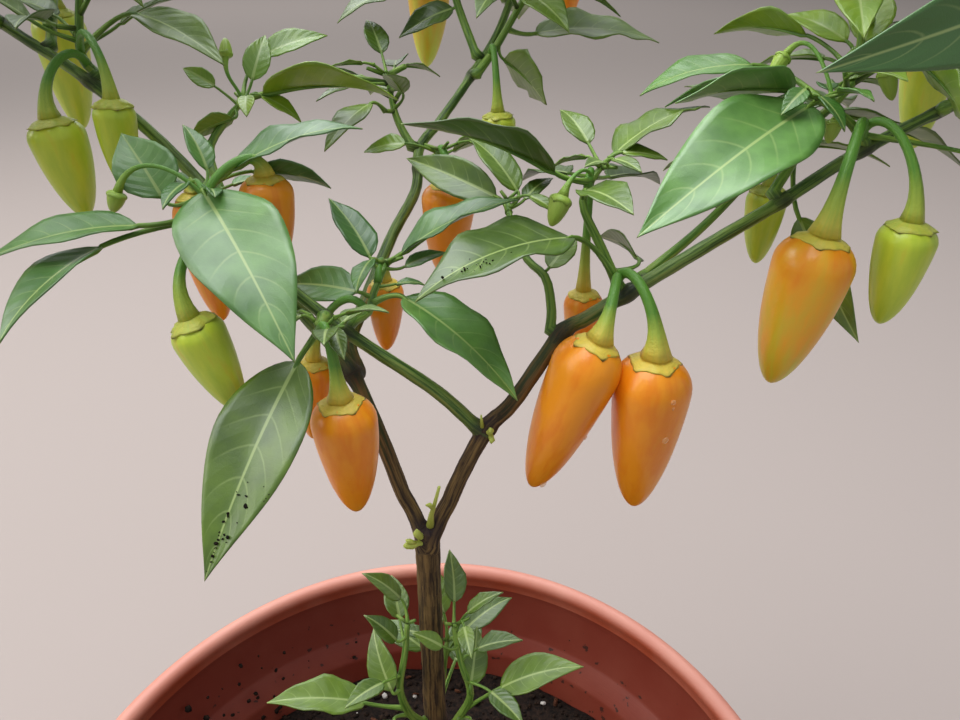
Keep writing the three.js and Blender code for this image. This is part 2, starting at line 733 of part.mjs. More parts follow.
    more: { shoots: 4, from: 0.35, seed: 35, reach: 66, turn: 130 },
  },
};

function placeLeaf(solids, owner, node, base, tip, roll, size = {}, limits = null) {
  const frame = bladeFrame(base, tip, roll, size.arch ?? LEAF_ARCH);
  const wide = size.width ?? LEAF_WIDTH * frame.length;
  const room = leafRoom(node, base, frame, wide, owner);
  if (limits && !isFree(room, limits.heart, limits.reach)) return;
  taken.push(...room);
  solids.push(leafSolid(node, base, frame, wide, limits ? GROWN_RINGS : BLADE_RINGS));
}

// Stem of a spray, from its foot on the limb, with its own measuring points.
function stemOf(spray, name) {
  const places = spray.stem.map((place) => [...place]);
  places[0] = footOn(limbs[spray.limb], places, TWIG_RADIUS).toArray();
  spray.curve = curveThrough(places);
  const steps = Math.ceil(spray.curve.getLength() / TWIG_STEP);
  const points = spray.curve.getPoints(steps);
  taken.push(...pointsAlong(spray.curve.getPoints(5 * steps), TWIG_RADIUS, name));
  return tube(points, points.map((_, i) => TWIG_RADIUS * (1 - (0.45 * i) / steps)), 3);
}

// A shoot: a short twig with one leaf at its end and one on either side.
function growShoot(solids, name, node, turn, dice, limits) {
  const end = node.clone().add(towards(turn, dice(10, 55), dice(9, 22)));
  const twig = pointsAlong([node.clone().lerp(end, 0.6), end], 1, name);
  if (!isFree(twig, limits.heart, limits.reach)) return;
  taken.push(...twig);
  solids.push(tube([node, end], [1, 0.8], 3));
  for (const [share, swing] of [[1, 0], [0.7, 70], [0.5, -70]]) {
    const from = node.clone().lerp(end, share);
    const way = turn + swing + dice(-15, 15);
    const base = from.clone().add(towards(way, dice(0, 40), dice(7, 13)));
    const tip = base.clone().add(towards(way, dice(-35, 12), dice(30, 50)));
    placeLeaf(solids, name, from, base, tip, dice(-20, 20), {}, limits);
  }
}

const solidsOf = {};
for (const limb of Object.values(limbs)) {
  const steps = Math.round(limb.length / 4);
  for (let i = 0; i <= steps; i++) {
    const t = i / steps;
    taken.push({ point: limb.curve.getPoint(t), radius: limb.radiusAt(t), owner: "limb", outer: false });
  }
}
for (const [name, spray] of Object.entries(sprays)) {
  const solids = [stemOf(spray, name)];
  for (const [share, base, tip, roll, width, arch] of spray.leaves ?? []) {
    placeLeaf(solids, name, spray.curve.getPoint(share), at(base), at(tip), roll, { width, arch });
  }
  for (const [share, calyx, tip, width] of spray.fruit ?? []) {
    const node = spray.curve.getPoint(share);
    taken.push(...fruitRoom(node, at(calyx), at(tip), width, name));
    solids.push(fruitSolid(node, at(calyx), at(tip), width));
  }
  solidsOf[name] = solids;
}
for (const [name, spray] of Object.entries(sprays)) {
  if (!spray.more) continue;
  const { shoots, from, seed, reach, turn } = spray.more;
  const dice = diceFrom(seed);
  const limits = { heart: spray.curve.getPoint((from + 1) / 2), reach };
  for (let i = 0; i < shoots; i++) {
    const share = from + ((1 - from) * (i + 1)) / shoots;
    growShoot(solidsOf[name], name, spray.curve.getPoint(share), turn + i * GOLDEN_TURN, dice, limits);
  }
}

// Assembly

const plant = new THREE.Group();
plant.add(meshOf("pot", pot(), 0xc4694c, 0.55));
plant.add(meshOf("soil", soil(), 0x2b211b, 0.95));
for (const [name, limb] of Object.entries(limbs)) {
  const green = name === "front_branch";
  plant.add(meshOf(name, limbSolid(limb), green ? 0x56702f : 0x554327, 0.7));
}
for (const [name, solids] of Object.entries(solidsOf)) {
  plant.add(meshOf(name, fuse(solids), 0x4f8a4a, 0.5));
}

export default plant;
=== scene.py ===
import math

import bmesh
import bpy
import numpy as np
from mathutils import Matrix, Vector, noise
from mathutils.kdtree import KDTree


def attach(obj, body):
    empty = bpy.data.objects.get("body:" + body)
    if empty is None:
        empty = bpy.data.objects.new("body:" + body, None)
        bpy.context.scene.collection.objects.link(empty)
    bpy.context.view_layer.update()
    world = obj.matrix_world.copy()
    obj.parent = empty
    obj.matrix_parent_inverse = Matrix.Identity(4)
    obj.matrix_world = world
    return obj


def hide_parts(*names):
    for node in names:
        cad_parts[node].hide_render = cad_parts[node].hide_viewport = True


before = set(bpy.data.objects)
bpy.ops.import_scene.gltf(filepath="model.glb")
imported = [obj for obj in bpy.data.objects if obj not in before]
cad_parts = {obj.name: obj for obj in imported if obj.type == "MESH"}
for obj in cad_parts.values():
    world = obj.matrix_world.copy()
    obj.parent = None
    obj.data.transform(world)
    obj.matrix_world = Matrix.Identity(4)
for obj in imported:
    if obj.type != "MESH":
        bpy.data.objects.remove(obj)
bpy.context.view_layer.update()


# Pot: a round 30 cm nursery pot, injection-moulded in one go from terracotta-coloured polypropylene.
# Its thin wall turns over into a fat rolled rim, steps in under the collar and tapers to a flat foot
# with six drain holes.

MM = 0.001
RIM_RADIUS = 149.6
POT_HEIGHT = 260
WALL = 3
FOOT_RADIUS = 97.6
SHOULDER_RADIUS = 130.6
SHOULDER_HEIGHT = 213
COLLAR_FOOT = 221
BEAD_RADIUS = 4.5
DRAIN_RADIUS = 5
DRAIN_CIRCLE = 62
DRAINS = 6
POT_STEPS = 180


def linear(colour):
    """An sRGB hex colour as linear red, green, blue and alpha."""
    parts = [int(colour[i:i + 2], 16) / 255 for i in (1, 3, 5)]
    return (*[p / 12.92 if p <= 0.04045 else ((p + 0.055) / 1.055) ** 2.4 for p in parts], 1)


def wire(tree, node, inputs):
    """Set a node's inputs to values, or link them to sockets or to other nodes' own results."""
    for socket, value in inputs.items():
        if isinstance(value, bpy.types.Node):
            value = value.outputs[2 if value.bl_idname == "ShaderNodeMix" else 0]
        if isinstance(value, bpy.types.NodeSocket):
            tree.links.new(value, node.inputs[socket])
        else:
            node.inputs[socket].default_value = value


def add_node(tree, kind, inputs=None, **settings):
    """Add a shader node with its settings and its inputs."""
    made = tree.nodes.new("ShaderNode" + kind)
    for name, value in settings.items():
        setattr(made, name, value)
    wire(tree, made, inputs or {})
    return made


def new_material(name, roughness, specular=0.5, **inputs):
    """A material with its node tree and its shader."""
    made = bpy.data.materials.new(name)
    made.use_nodes = True
    shader = made.node_tree.nodes["Principled BSDF"]
    wire(made.node_tree, shader, {"Roughness": roughness, "Specular IOR Level": specular, **inputs})
    return made, made.node_tree, shader


def moulded_plastic(name, colour, bloom, splashed):
    """Moulded polypropylene: soft waxy shine, dusty bloom in patches, and a painted highlight that makes the
    top of the rim paler.
    """
    made, tree, shader = new_material(name, 0.5)
    place = add_node(tree, "TexCoord").outputs["Object"]
    patches = add_node(tree, "TexNoise", {"Vector": place, "Scale": 22, "Detail": 6, "Roughness": 0.6})
    share = add_node(tree, "MapRange", {"Value": patches, "From Min": 0.42, "From Max": 0.75, "To Max": 0.38})
    dusty = add_node(tree, "Mix", {0: share, 6: linear(colour), 7: linear(bloom)}, data_type="RGBA")
    height = add_node(tree, "SeparateXYZ", {0: place}).outputs["Z"]
    # Painted highlight: the top of the rim is painted paler, as if it caught the bright sky.
    painted_rim_highlight = add_node(tree, "MapRange", {"Value": height, "From Min": 0.256, "From Max": 0.26, "To Max": 0.36})
    paint = add_node(tree, "Mix", {0: painted_rim_highlight, 6: dusty, 7: linear("#E3B7A6")}, data_type="RGBA")
    if splashed:
        # Specks of wet soil thrown up against the wall when the pot is watered, thickest low down.
        low = add_node(tree, "MapRange", {"Value": height, "From Min": 0.204, "From Max": 0.25,
                                          "To Min": 0.62, "To Max": 0.74})
        specks = add_node(tree, "TexNoise", {"Vector": place, "Scale": 210, "Detail": 3})
        over = add_node(tree, "Math", {0: specks, 1: low}, operation="SUBTRACT")
        mask = add_node(tree, "MapRange", {"Value": over, "From Max": 0.02, "To Max": 0.85})
        paint = add_node(tree, "Mix", {0: mask, 6: paint, 7: linear("#2A1A14")}, data_type="RGBA")
    rough = add_node(tree, "MapRange", {"Value": patches, "To Min": 0.4, "To Max": 0.62})
    round_wall = add_node(tree, "Mapping", {0: place, "Scale": (1, 1, 14)})
    grain = add_node(tree, "TexNoise", {"Vector": round_wall, "Scale": 160, "Detail": 4})
    relief = add_node(tree, "Bump", {"Height": grain, "Strength": 0.25, "Distance": 0.0002})
    wire(tree, shader, {"Base Color": paint, "Roughness": rough, "Normal": relief})
    return made


def put(name, data):
    """An object of this data in the scene."""
    made = bpy.data.objects.new(name, data)
    bpy.context.collection.objects.link(made)
    return made


def keep_piece(name, mesh, materials, slot, *nodes):
    """Show a finished mesh as a piece of the plant that rides on the one body and stands for CAD nodes."""
    made = put(name, mesh)
    for material in materials:
        mesh.materials.append(material)
    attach(made, "root")
    if nodes:
        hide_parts(*nodes)


def mesh_of(name, bm, weld=0.001, outward=True):
    """Weld a bmesh made in millimetres, point its faces outward and give it back as a mesh in metres."""
    bmesh.ops.remove_doubles(bm, verts=bm.verts, dist=weld)
    if outward:
        bmesh.ops.recalc_face_normals(bm, faces=bm.faces)
    bmesh.ops.scale(bm, vec=(MM, MM, MM), verts=bm.verts)
    mesh = bpy.data.meshes.new(name)
    bm.to_mesh(mesh)
    bm.free()
    mesh.shade_smooth()
    return mesh


def applied(mesh, name, modifiers):
    """The mesh as its modifiers leave it."""
    holder = put(name, mesh)
    for kind, settings in modifiers:
        modifier = holder.modifiers.new(kind, kind)
        for key, value in settings.items():
            setattr(modifier, key, value)
    shaped = bpy.data.meshes.new_from_object(holder.evaluated_get(bpy.context.evaluated_depsgraph_get()))
    bpy.data.objects.remove(holder)
    return shaped


def arc(middle, radius, start, end, steps):
    """Points of [radius, height] round a part of a circle, with its angles in degrees."""
    turns = [math.radians(start + (end - start) * i / steps) for i in range(steps + 1)]
    return [(middle[0] + radius * math.cos(t), middle[1] + radius * math.sin(t)) for t in turns]


def spun(profile, steps):
    """A bmesh turned round the pot's axis from a profile of [radius, height]."""
    bm = bmesh.new()
    line = [bm.verts.new((radius, 0, height)) for radius, height in profile]
    edges = [bm.edges.new(pair) for pair in zip(line, line[1:])]
    bmesh.ops.spin(bm, geom=line + edges, cent=(0, 0, 0), axis=(0, 0, 1), angle=2 * math.pi,
                   steps=steps, use_merge=True)
    return bm


bead_middle = (RIM_RADIUS - BEAD_RADIUS, POT_HEIGHT - BEAD_RADIUS)
collar_top = bead_middle[1] - BEAD_RADIUS
collar_radius = bead_middle[0] - 6
foot_edge = arc((FOOT_RADIUS - 4, 4), 4, -90, -6, 6)
shoulder = arc((SHOULDER_RADIUS - 1.5, SHOULDER_HEIGHT - 1), 1.5, 0, 60, 4)
collar_edge = arc((collar_radius - 0.6, COLLAR_FOOT + 1.2), 1.2, -80, -4, 5)
moulded_line = [(collar_radius + 2.2 + dx, COLLAR_FOOT + 14 + dz)
                for dx, dz in ((0, 0), (0.5, 0.6), (0.5, 1.4), (0.1, 2))]
bead = arc(bead_middle, BEAD_RADIUS, -62, 196, 22)
outside = [(0, 0), (FOOT_RADIUS - 14, 0), (FOOT_RADIUS - 13.4, 0.01), *foot_edge, *shoulder, *collar_edge,
           *moulded_line, (bead_middle[0] - 1, collar_top - 0.2), *bead]
inside = [(bead_middle[0] - 1 - WALL, collar_top - 1), (bead_middle[0] - 1.8 - WALL, collar_top - 4),
          (collar_radius - WALL + 0.4, COLLAR_FOOT + 3.2), (collar_radius - WALL - 0.6, COLLAR_FOOT + 1.6),
          (SHOULDER_RADIUS - WALL + 0.8, SHOULDER_HEIGHT + 1.4),
          (SHOULDER_RADIUS - WALL, SHOULDER_HEIGHT - 1), (FOOT_RADIUS - WALL, WALL + 5),
          (FOOT_RADIUS - WALL - 5, WALL), (0, WALL)]
pot_mesh = mesh_of("pot_plain", spun(outside + inside, POT_STEPS))

drills = bmesh.new()
for i in range(DRAINS):
    turn = 2 * math.pi * i / DRAINS
    spot = Matrix.Translation((DRAIN_CIRCLE * math.cos(turn), DRAIN_CIRCLE * math.sin(turn), WALL / 2))
    bmesh.ops.create_cone(drills, cap_ends=True, segments=24, radius1=DRAIN_RADIUS, radius2=DRAIN_RADIUS,
                          depth=3 * WALL, matrix=spot)
drill = put("drain_drills", mesh_of("drain_drills", drills))
pot_mesh = applied(pot_mesh, "pot_plain", [("BOOLEAN", {"object": drill, "solver": "EXACT"})])
bpy.data.objects.remove(drill)
pot_mesh.set_sharp_from_angle(angle=math.radians(40))
# Inside, below the collar, the wall gets a darker copy of the plastic. This is painted shade for the little
# light that reaches down into the pot, with soil specks splashed over it.
for face in pot_mesh.polygons:
    middle = face.center
    inner = middle.x * face.normal.x + middle.y * face.normal.y < 0
    face.material_index = 1 if inner and middle.z < collar_top * MM else 0
keep_piece("pot_shell", pot_mesh, [
    moulded_plastic("terracotta_polypropylene", "#AE4F33", "#D39A85", False),
    moulded_plastic("painted_shade_splashed_polypropylene", "#7C3020", "#96503C", True),
], "pot_plastic", "pot")


# Soil: dark, moist potting compost of peat, fine bark and white perlite, a little mounded and never
# quite level, with loose crumbs on top and some thrown against the inside of the wall.

SOIL_LEVEL = 203
SOIL_RADIUS = 125.4
SOIL_RINGS = 44
SOIL_STEPS = 150
TRUNK_ROOM = 8
TRUNK_X = 8
CRUMBS = 2600
BARK_CHIPS = 150
PERLITE = 70
WALL_CRUMBS = 90
rng = np.random.default_rng(4)


def soil_height(x, y):
    """Height of the compost's surface at a place, in millimetres."""
    out = math.hypot(x, y) / SOIL_RADIUS
    mound = 2.2 * math.exp(-((out - 0.6) / 0.25) ** 2) - 3.0 * max(0, out - 0.85) / 0.15
    lumps = noise.fractal(Vector((x, y, 3)) * 0.055, 0.9, 2.1, 4) * 2.4
    near_trunk = math.exp(-math.hypot(x - TRUNK_X, y) / 16)
    return SOIL_LEVEL + mound + lumps * (1 - near_trunk)


def loose_earth(name, dark, pale, grain_mm, roughness=0.95):
    """Crumbly organic matter: no shine, each grain a shade of its own."""
    made, tree, shader = new_material(name, roughness, 0.2)
    place = add_node(tree, "TexCoord").outputs["Object"]
    grains = add_node(tree, "TexNoise", {"Vector": place, "Scale": 1 / (grain_mm * MM), "Detail": 8,
                                         "Roughness": 0.7})
    share = add_node(tree, "MapRange", {"Value": grains, "From Min": 0.4, "From Max": 0.72})
    paint = add_node(tree, "Mix", {0: share, 6: linear(dark), 7: linear(pale)}, data_type="RGBA")
    relief = add_node(tree, "Bump", {"Height": grains, "Strength": 0.9, "Distance": 0.0012})
    wire(tree, shader, {"Base Color": paint, "Normal": relief})
    return made


def copies(name, template, places):
    """One mesh of many copies of a small bmesh shape in millimetres, one at each matrix."""
    shape = np.array([vert.co for vert in template.verts])
    faces = np.array([[vert.index for vert in face.verts] for face in template.faces])
    template.free()
    points = [shape @ np.array(place.to_3x3()).T + np.array(place.translation) for place in places]
    corners = [faces + i * len(shape) for i in range(len(places))]
    mesh = bpy.data.meshes.new(name)
    mesh.from_pydata((np.concatenate(points) * MM).tolist(), [], np.concatenate(corners).tolist())
    mesh.shade_smooth()
    return mesh


def tumbled(spot, size, flat=1.0):
    """A place for a loose grain: turned at random, of about this size, flattened by flat."""
    spin = Matrix.Rotation(rng.uniform(0, 6.28), 4, Vector(rng.normal(size=3)).normalized())
    sizes = np.diag([*(size * rng.uniform(0.6, 1.3, 3)), 1])
    sizes[2, 2] *= flat
    return Matrix.Translation(spot) @ spin @ Matrix(sizes.tolist())


def grain_shape():
    """A rough little lump of twenty faces."""
    bm = bmesh.new()
    bmesh.ops.create_icosphere(bm, subdivisions=1, radius=0.5)
    for vert in bm.verts:
        vert.co *= 1 + 0.28 * noise.noise(vert.co * 7.3)
    bm.verts.index_update()
    return bm


def on_soil(lift):
    """A random spot on the compost, clear of the trunk."""
    while True:
        turn, out = rng.uniform(0, 2 * math.pi), SOIL_RADIUS * math.sqrt(rng.uniform(0, 0.97))
        x, y = out * math.cos(turn), out * math.sin(turn)
        if math.hypot(x - TRUNK_X, y) > TRUNK_ROOM:
            return Vector((x, y, soil_height(x, y) + lift))


surface = [(SOIL_RADIUS * i / SOIL_RINGS, SOIL_LEVEL) for i in range(SOIL_RINGS + 1)]
below = [(SOIL_RADIUS, SOIL_LEVEL - 12), (FOOT_RADIUS - 1.6, WALL + 0.6), (0, WALL + 0.6)]
bed = spun(surface + below, SOIL_STEPS)
for vert in bed.verts:
    if vert.co.z > SOIL_LEVEL - 1:
        vert.co.z = soil_height(vert.co.x, vert.co.y)
keep_piece("soil_bed", mesh_of("soil_bed", bed), [
    loose_earth("moist_compost", "#0F0B09", "#33251C", 2.5)], "potting_soil", "soil")

crumb_places = [tumbled(on_soil(0.4), 1.2 + 3.2 * rng.uniform() ** 3) for i in range(CRUMBS)]
# Those thrown against the inside of the wall cling mostly to its back left.
for i in range(WALL_CRUMBS):
    turn = math.radians(rng.normal(152, 14) if i % 3 else rng.uniform(0, 360))
    height = 206 + 36 * rng.uniform() ** 2
    out = FOOT_RADIUS + (SHOULDER_RADIUS - FOOT_RADIUS) * min(1, height / SHOULDER_HEIGHT) - WALL
    out += max(0, height - SHOULDER_HEIGHT) * 0.3
    spot = Vector((out * math.cos(turn), out * math.sin(turn), height))
    crumb_places.append(tumbled(spot, rng.uniform(1, 3.4)))
keep_piece("soil_crumbs", copies("soil_crumbs", grain_shape(), crumb_places), [
    loose_earth("compost_crumbs", "#120D0A", "#3B2A1E", 1.5)], "potting_soil")

keep_piece("bark_chips", copies("bark_chips", grain_shape(), [
    tumbled(on_soil(0.8), rng.uniform(2.5, 6.5), 0.35) for i in range(BARK_CHIPS)]), [
    loose_earth("bark_chips", "#3A2115", "#7A4A30", 1.2, 0.8)], "potting_soil")

keep_piece("perlite_grains", copies("perlite_grains", grain_shape(), [
    tumbled(on_soil(0.6), rng.uniform(1.6, 3.8)) for i in range(PERLITE)]), [
    loose_earth("perlite", "#B9B4AC", "#ECE8E0", 0.8, 0.9)], "potting_soil")


# Trunk and boughs: one woody stem that forks again and again. The old wood is brown and finely
# ridged lengthwise, each fork is swollen and purple-black, and the young wood further out is green.
# All limbs are grown as tapering tubes and then skinned over together, so that forks flow smoothly.

TOUCH_GAP = 0.3
FORK_HEIGHT = 409
BARK_GRAIN = 0.5
BARK_RELIEF = 0.2
LIMB_SIDES = 20
FLARE_LENGTH = 7
KNUCKLE_LENGTH = 5
FORK_SPREAD = 14

# age: how woody a limb is at its foot, and over how many millimetres it turns green.
# places: where its middle line goes, from the foot that it leaves from. radii: at its foot and tip.
limbs = {
    "trunk": {
        "age": [1, 2000],
        "places": [[TRUNK_X, 0, SOIL_LEVEL], [TRUNK_X + 1, -1, 270], [TRUNK_X, 0, 342],
                   [TRUNK_X, 0, FORK_HEIGHT]],
        "radii": [4.1, 3.5],
        "flare": 3.2,
        "knuckle": 0.3,
    },
    "right_bough": {
        "age": [0.95, 105],
        "foot": "fork",
        "lean": 1,
        "places": [[15.6, 4, 426], [24.6, 8, 443.8], [32, 11, 451], [45, 19, 467.6], [51.8, 21, 471.4],
                   [63, 25, 477], [83, 30, 488], [105, 37, 499], [126, 43, 511], [153, 49, 523],
                   [178, 56, 532], [205, 64, 543]],
        "radii": [2.5, 1.5],
    },
    "left_bough": {
        "age": [0.95, 85],
        "foot": "fork",
        "lean": -1,
        "places": [[2, 5, 421], [-13, 21, 454], [-29, 33, 469], [-60, 52, 503], [-87, 61, 526],
                   [-113, 70, 541], [-160, 92, 569]],
        "radii": [2.4, 1.4],
    },
    "middle_bough": {
        "age": [0.5, 60],
        "foot": "left_bough",
        "places": [[-13, 21, 454], [-15, 32, 458], [-12, 46, 465], [-5, 65, 479], [2, 79, 490],
                   [3, 89, 501], [10, 95, 509], [20, 108, 521], [32, 126, 539], [47, 170, 581]],
        "radii": [2.2, 1.3],
    },
    "front_branch": {
        "age": [0.2, 50],
        "foot": "right_bough",
        "places": [[24, 8, 444], [11, 9, 456], [-6, 11, 468], [-17, 13, 476], [-35, 17, 491],
                   [-42, 19, 498]],
        "radii": [2.0, 1.3],
    },
}

# Where a fork or an old leaf scar darkens and swells the bark: place, reach along the stem, swelling.
knots = [
    ((8, 0, 416), 6, 0.2), ((24, 8, 445), 5, 0.6), ((-13, 21, 454), 6, 0.6), ((45, 19, 468), 5, 0.7),
    ((63, 25, 477), 6, 0.7), ((105, 37, 499), 4, 0.4), ((127, 43, 511), 5, 0.6), ((147, 48, 520), 4, 0.4),
    ((9, -1, 330), 9, 0.7), ((-55, 48, 497), 5, 0.5), ((-87, 61, 526), 4, 0.5), ((3, 84, 496), 4, 0.4),
    ((20, 108, 521), 4, 0.5), ((-12, 12, 472), 4, 0.5), ((-17, 13, 476), 3, 0.4), ((178, 56, 532), 4, 0.4),
    ((163, 51, 526), 4, 0.4), ((-124, 74, 547), 4, 0.4), ((33, 132, 545), 4, 0.4), ((-113, 70, 541), 4, 0.4),
]


def curve_through(places):
    """A smooth way through the places: point(share), for shares from 0 to 1."""
    spots = [Vector(place) for place in places]
    spots = [2 * spots[0] - spots[1], *spots, 2 * spots[-1] - spots[-2]]
    spans = len(spots) - 3

    def point(share):
        along = min(max(share, 0), 1) * spans
        i = min(int(along), spans - 1)
        t = along - i
        before, start, end, after = spots[i:i + 4]
        leave, arrive = (end - before) / 2, (after - start) / 2
        return (start + leave * t + (3 * (end - start) - 2 * leave - arrive) * t ** 2
                + (2 * (start - end) + leave + arrive) * t ** 3)

    return point


def direction(curve, share):
    return (curve(min(1, share + 1e-4)) - curve(max(0, share - 1e-4))).normalized()


def length_of(curve):
    stops = [curve(i / 200) for i in range(201)]
    return sum((b - a).length for a, b in zip(stops, stops[1:]))


def nearest_on(limb, place):
    """The nearest of 201 stops on a limb's middle line, as its share, point, radius and direction."""
    share = min((i / 200 for i in range(201)), key=lambda t: (limb["curve"](t) - place).length)
    return share, limb["curve"](share), limb["radius"](share), direction(limb["curve"], share)


def foot_on(limb, places, radius):
    """Where a side shoot leaves the bark of its limb, or carries on from its tip."""
    share, point, bark, ahead = nearest_on(limb, Vector(places[0]))
    away = (Vector(places[1]) - point).normalized()
    along = away.dot(ahead)
    if share > 0.995:
        return point + ahead * (TOUCH_GAP + radius * math.sqrt(max(0, 1 - along * along)))
    out = (away - ahead * along).normalized()
    return point + out * (bark + TOUCH_GAP + radius * abs(along))


def prepare_limb(limb):
    """Give a limb its foot, its curve and its radius along the way."""
    thick, thin = limb["radii"]
    places = [Vector(place) for place in limb["places"]]
    if limb.get("foot") == "fork":
        foot = Vector((TRUNK_X + limb["lean"] * (thick + 0.6), 0, FORK_HEIGHT + TOUCH_GAP))
        away = (places[0] - foot).normalized()
        foot.z += thick * math.hypot(away.x, away.y)
        places.insert(0, foot)
        limb["heart"] = Vector((TRUNK_X, 0, FORK_HEIGHT + 1))
    elif limb.get("foot"):
        limb["heart"] = nearest_on(limbs[limb["foot"]], places[0])[1]
        places[0] = foot_on(limbs[limb["foot"]], places, thick)
    limb["curve"] = curve_through(places)
    limb["length"] = length_of(limb["curve"])

    def radius(share):
        flare = limb.get("flare", 0) * math.exp(-share * limb["length"] / FLARE_LENGTH)
        knuckle = limb.get("knuckle", 0) * math.exp((share - 1) * limb["length"] / KNUCKLE_LENGTH)
        return thick + (thin - thick) * share + flare + knuckle

    limb["radius"] = radius


def skin(bm, columns, rows, place, layers=()):
    """A grid of faces laid by place(u, v), u round or across it and v along it, both from 0 to 1.
    place gives each point and, after it, a mark for each of the vertex layers."""
    for vert in bmesh.ops.create_grid(bm, x_segments=columns, y_segments=rows, size=1)["verts"]:
        vert.co, *marks = place((vert.co.x + 1) / 2, (vert.co.y + 1) / 2)
        for layer, mark in zip(layers, marks):
            vert[layer] = mark


def frames_along(points):
    """The way ahead and two directions square to it at each point, carried along without twist."""
    across = Vector((0.31, 0.52, 0.79))
    frames = []
    for i in range(len(points)):
        ahead = (points[min(i + 1, len(points) - 1)] - points[max(i - 1, 0)]).normalized()
        across = (across - ahead * across.dot(ahead)).normalized()
        frames.append((ahead, across.copy(), ahead.cross(across)))
    return frames


def tube(bm, points, radii, sides, layers=(), marks=None):
    """A closed tube along points. Its layers take the place on the bark and each point's own marks."""
    frames = frames_along(points)
    marks = marks or [()] * len(points)
    along = [0.0]
    for a, b in zip(points, points[1:]):
        along.append(along[-1] + (b - a).length)
    last = len(points) + 1

    def place(u, v):
        row = round(v * last)
        i = min(max(row - 1, 0), len(points) - 1)
        turn = 2 * math.pi * u
        out = frames[i][1] * math.cos(turn) + frames[i][2] * math.sin(turn)
        spot = points[i] + out * (radii[i] if 0 < row < last else 0)
        return spot, (math.cos(turn) * radii[i], math.sin(turn) * radii[i], along[i]), *marks[i]

    skin(bm, sides, last, place, layers)


for limb in limbs.values():
    prepare_limb(limb)

limb_shape = bmesh.new()
middles = []
for name, limb in limbs.items():
    steps = round(limb["length"] / 2)
    shares = [i / steps for i in range(steps + 1)]
    points = [limb["curve"](share) for share in shares]
    radii = [limb["radius"](share) for share in shares]
    if name == "trunk":
        radii = [min(r, limb["radii"][0] + limb["flare"]) for r in radii]
        points.append(Vector((TRUNK_X, 1, FORK_HEIGHT + 6)))
        radii.append(limb["radii"][1])
    else:
        points.insert(0, limb["heart"])
        radii.insert(0, limb["radii"][0])
        radii[-1] *= 0.9
    if limb.get("foot") == "fork":
        # The two first boughs leave the top of the trunk side by side and then part.
        for point in points:
            risen = min(1, max(0, (point.z - FORK_HEIGHT) / FORK_SPREAD))
            point.x = TRUNK_X + (point.x - TRUNK_X) * risen ** 0.6
    # No limb is quite even: it swells and thins a little all along, and most at its knots.
    radii = [r * (1 + 0.02 * math.sin(i * 1.7)) for i, r in enumerate(radii)]
    for i, point in enumerate(points):
        for place, reach, swelling in knots:
            radii[i] += swelling * math.exp(-((point - Vector(place)).length / (0.45 * reach)) ** 2)
    tube(limb_shape, points, radii, LIMB_SIDES)
    woody, young_from = limb["age"]
    frames = frames_along(points)
    for i, point in enumerate(points):
        middles.append((point, frames[i], radii[i], 2.0 * i, woody * math.exp(-(2 * i / young_from) ** 2)))

limb_mesh = applied(mesh_of("limbs", limb_shape), "limbs", [
    ("REMESH", {"mode": "VOXEL", "voxel_size": BARK_GRAIN * MM, "use_smooth_shade": True}),
    ("SMOOTH", {"factor": 0.5, "iterations": 5}),
])
nearest_middle = KDTree(len(middles))
for i, middle in enumerate(middles):
    nearest_middle.insert(middle[0] * MM, i)
nearest_middle.balance()
for name, kind in (("grain", "FLOAT_VECTOR"), ("age", "FLOAT"), ("knot", "FLOAT")):
    limb_mesh.attributes.new(name, kind, "POINT")
grain, age, knot = [limb_mesh.attributes[name].data for name in ("grain", "age", "knot")]
normals = [vert.normal.copy() for vert in limb_mesh.vertices]
for i, vert in enumerate(limb_mesh.vertices):
    point, (ahead, across, up), radius, along, years = middles[nearest_middle.find(vert.co)[1]]
    spot = vert.co / MM
    away = spot - point
    flat = Vector((away.dot(across), away.dot(up))).normalized() * radius
    lengthwise = along + away.dot(ahead)
    grain[i].vector = (flat.x, flat.y, lengthwise)
    age[i].value = years
    knot[i].value = max(math.exp(-((spot - Vector(place)).length / reach) ** 2) for place, reach, _ in knots)
    ridges = noise.noise(Vector((flat.x, flat.y, lengthwise * 0.05)))
    vert.co += normals[i] * (ridges * BARK_RELIEF * (0.3 + 0.7 * years) * MM)


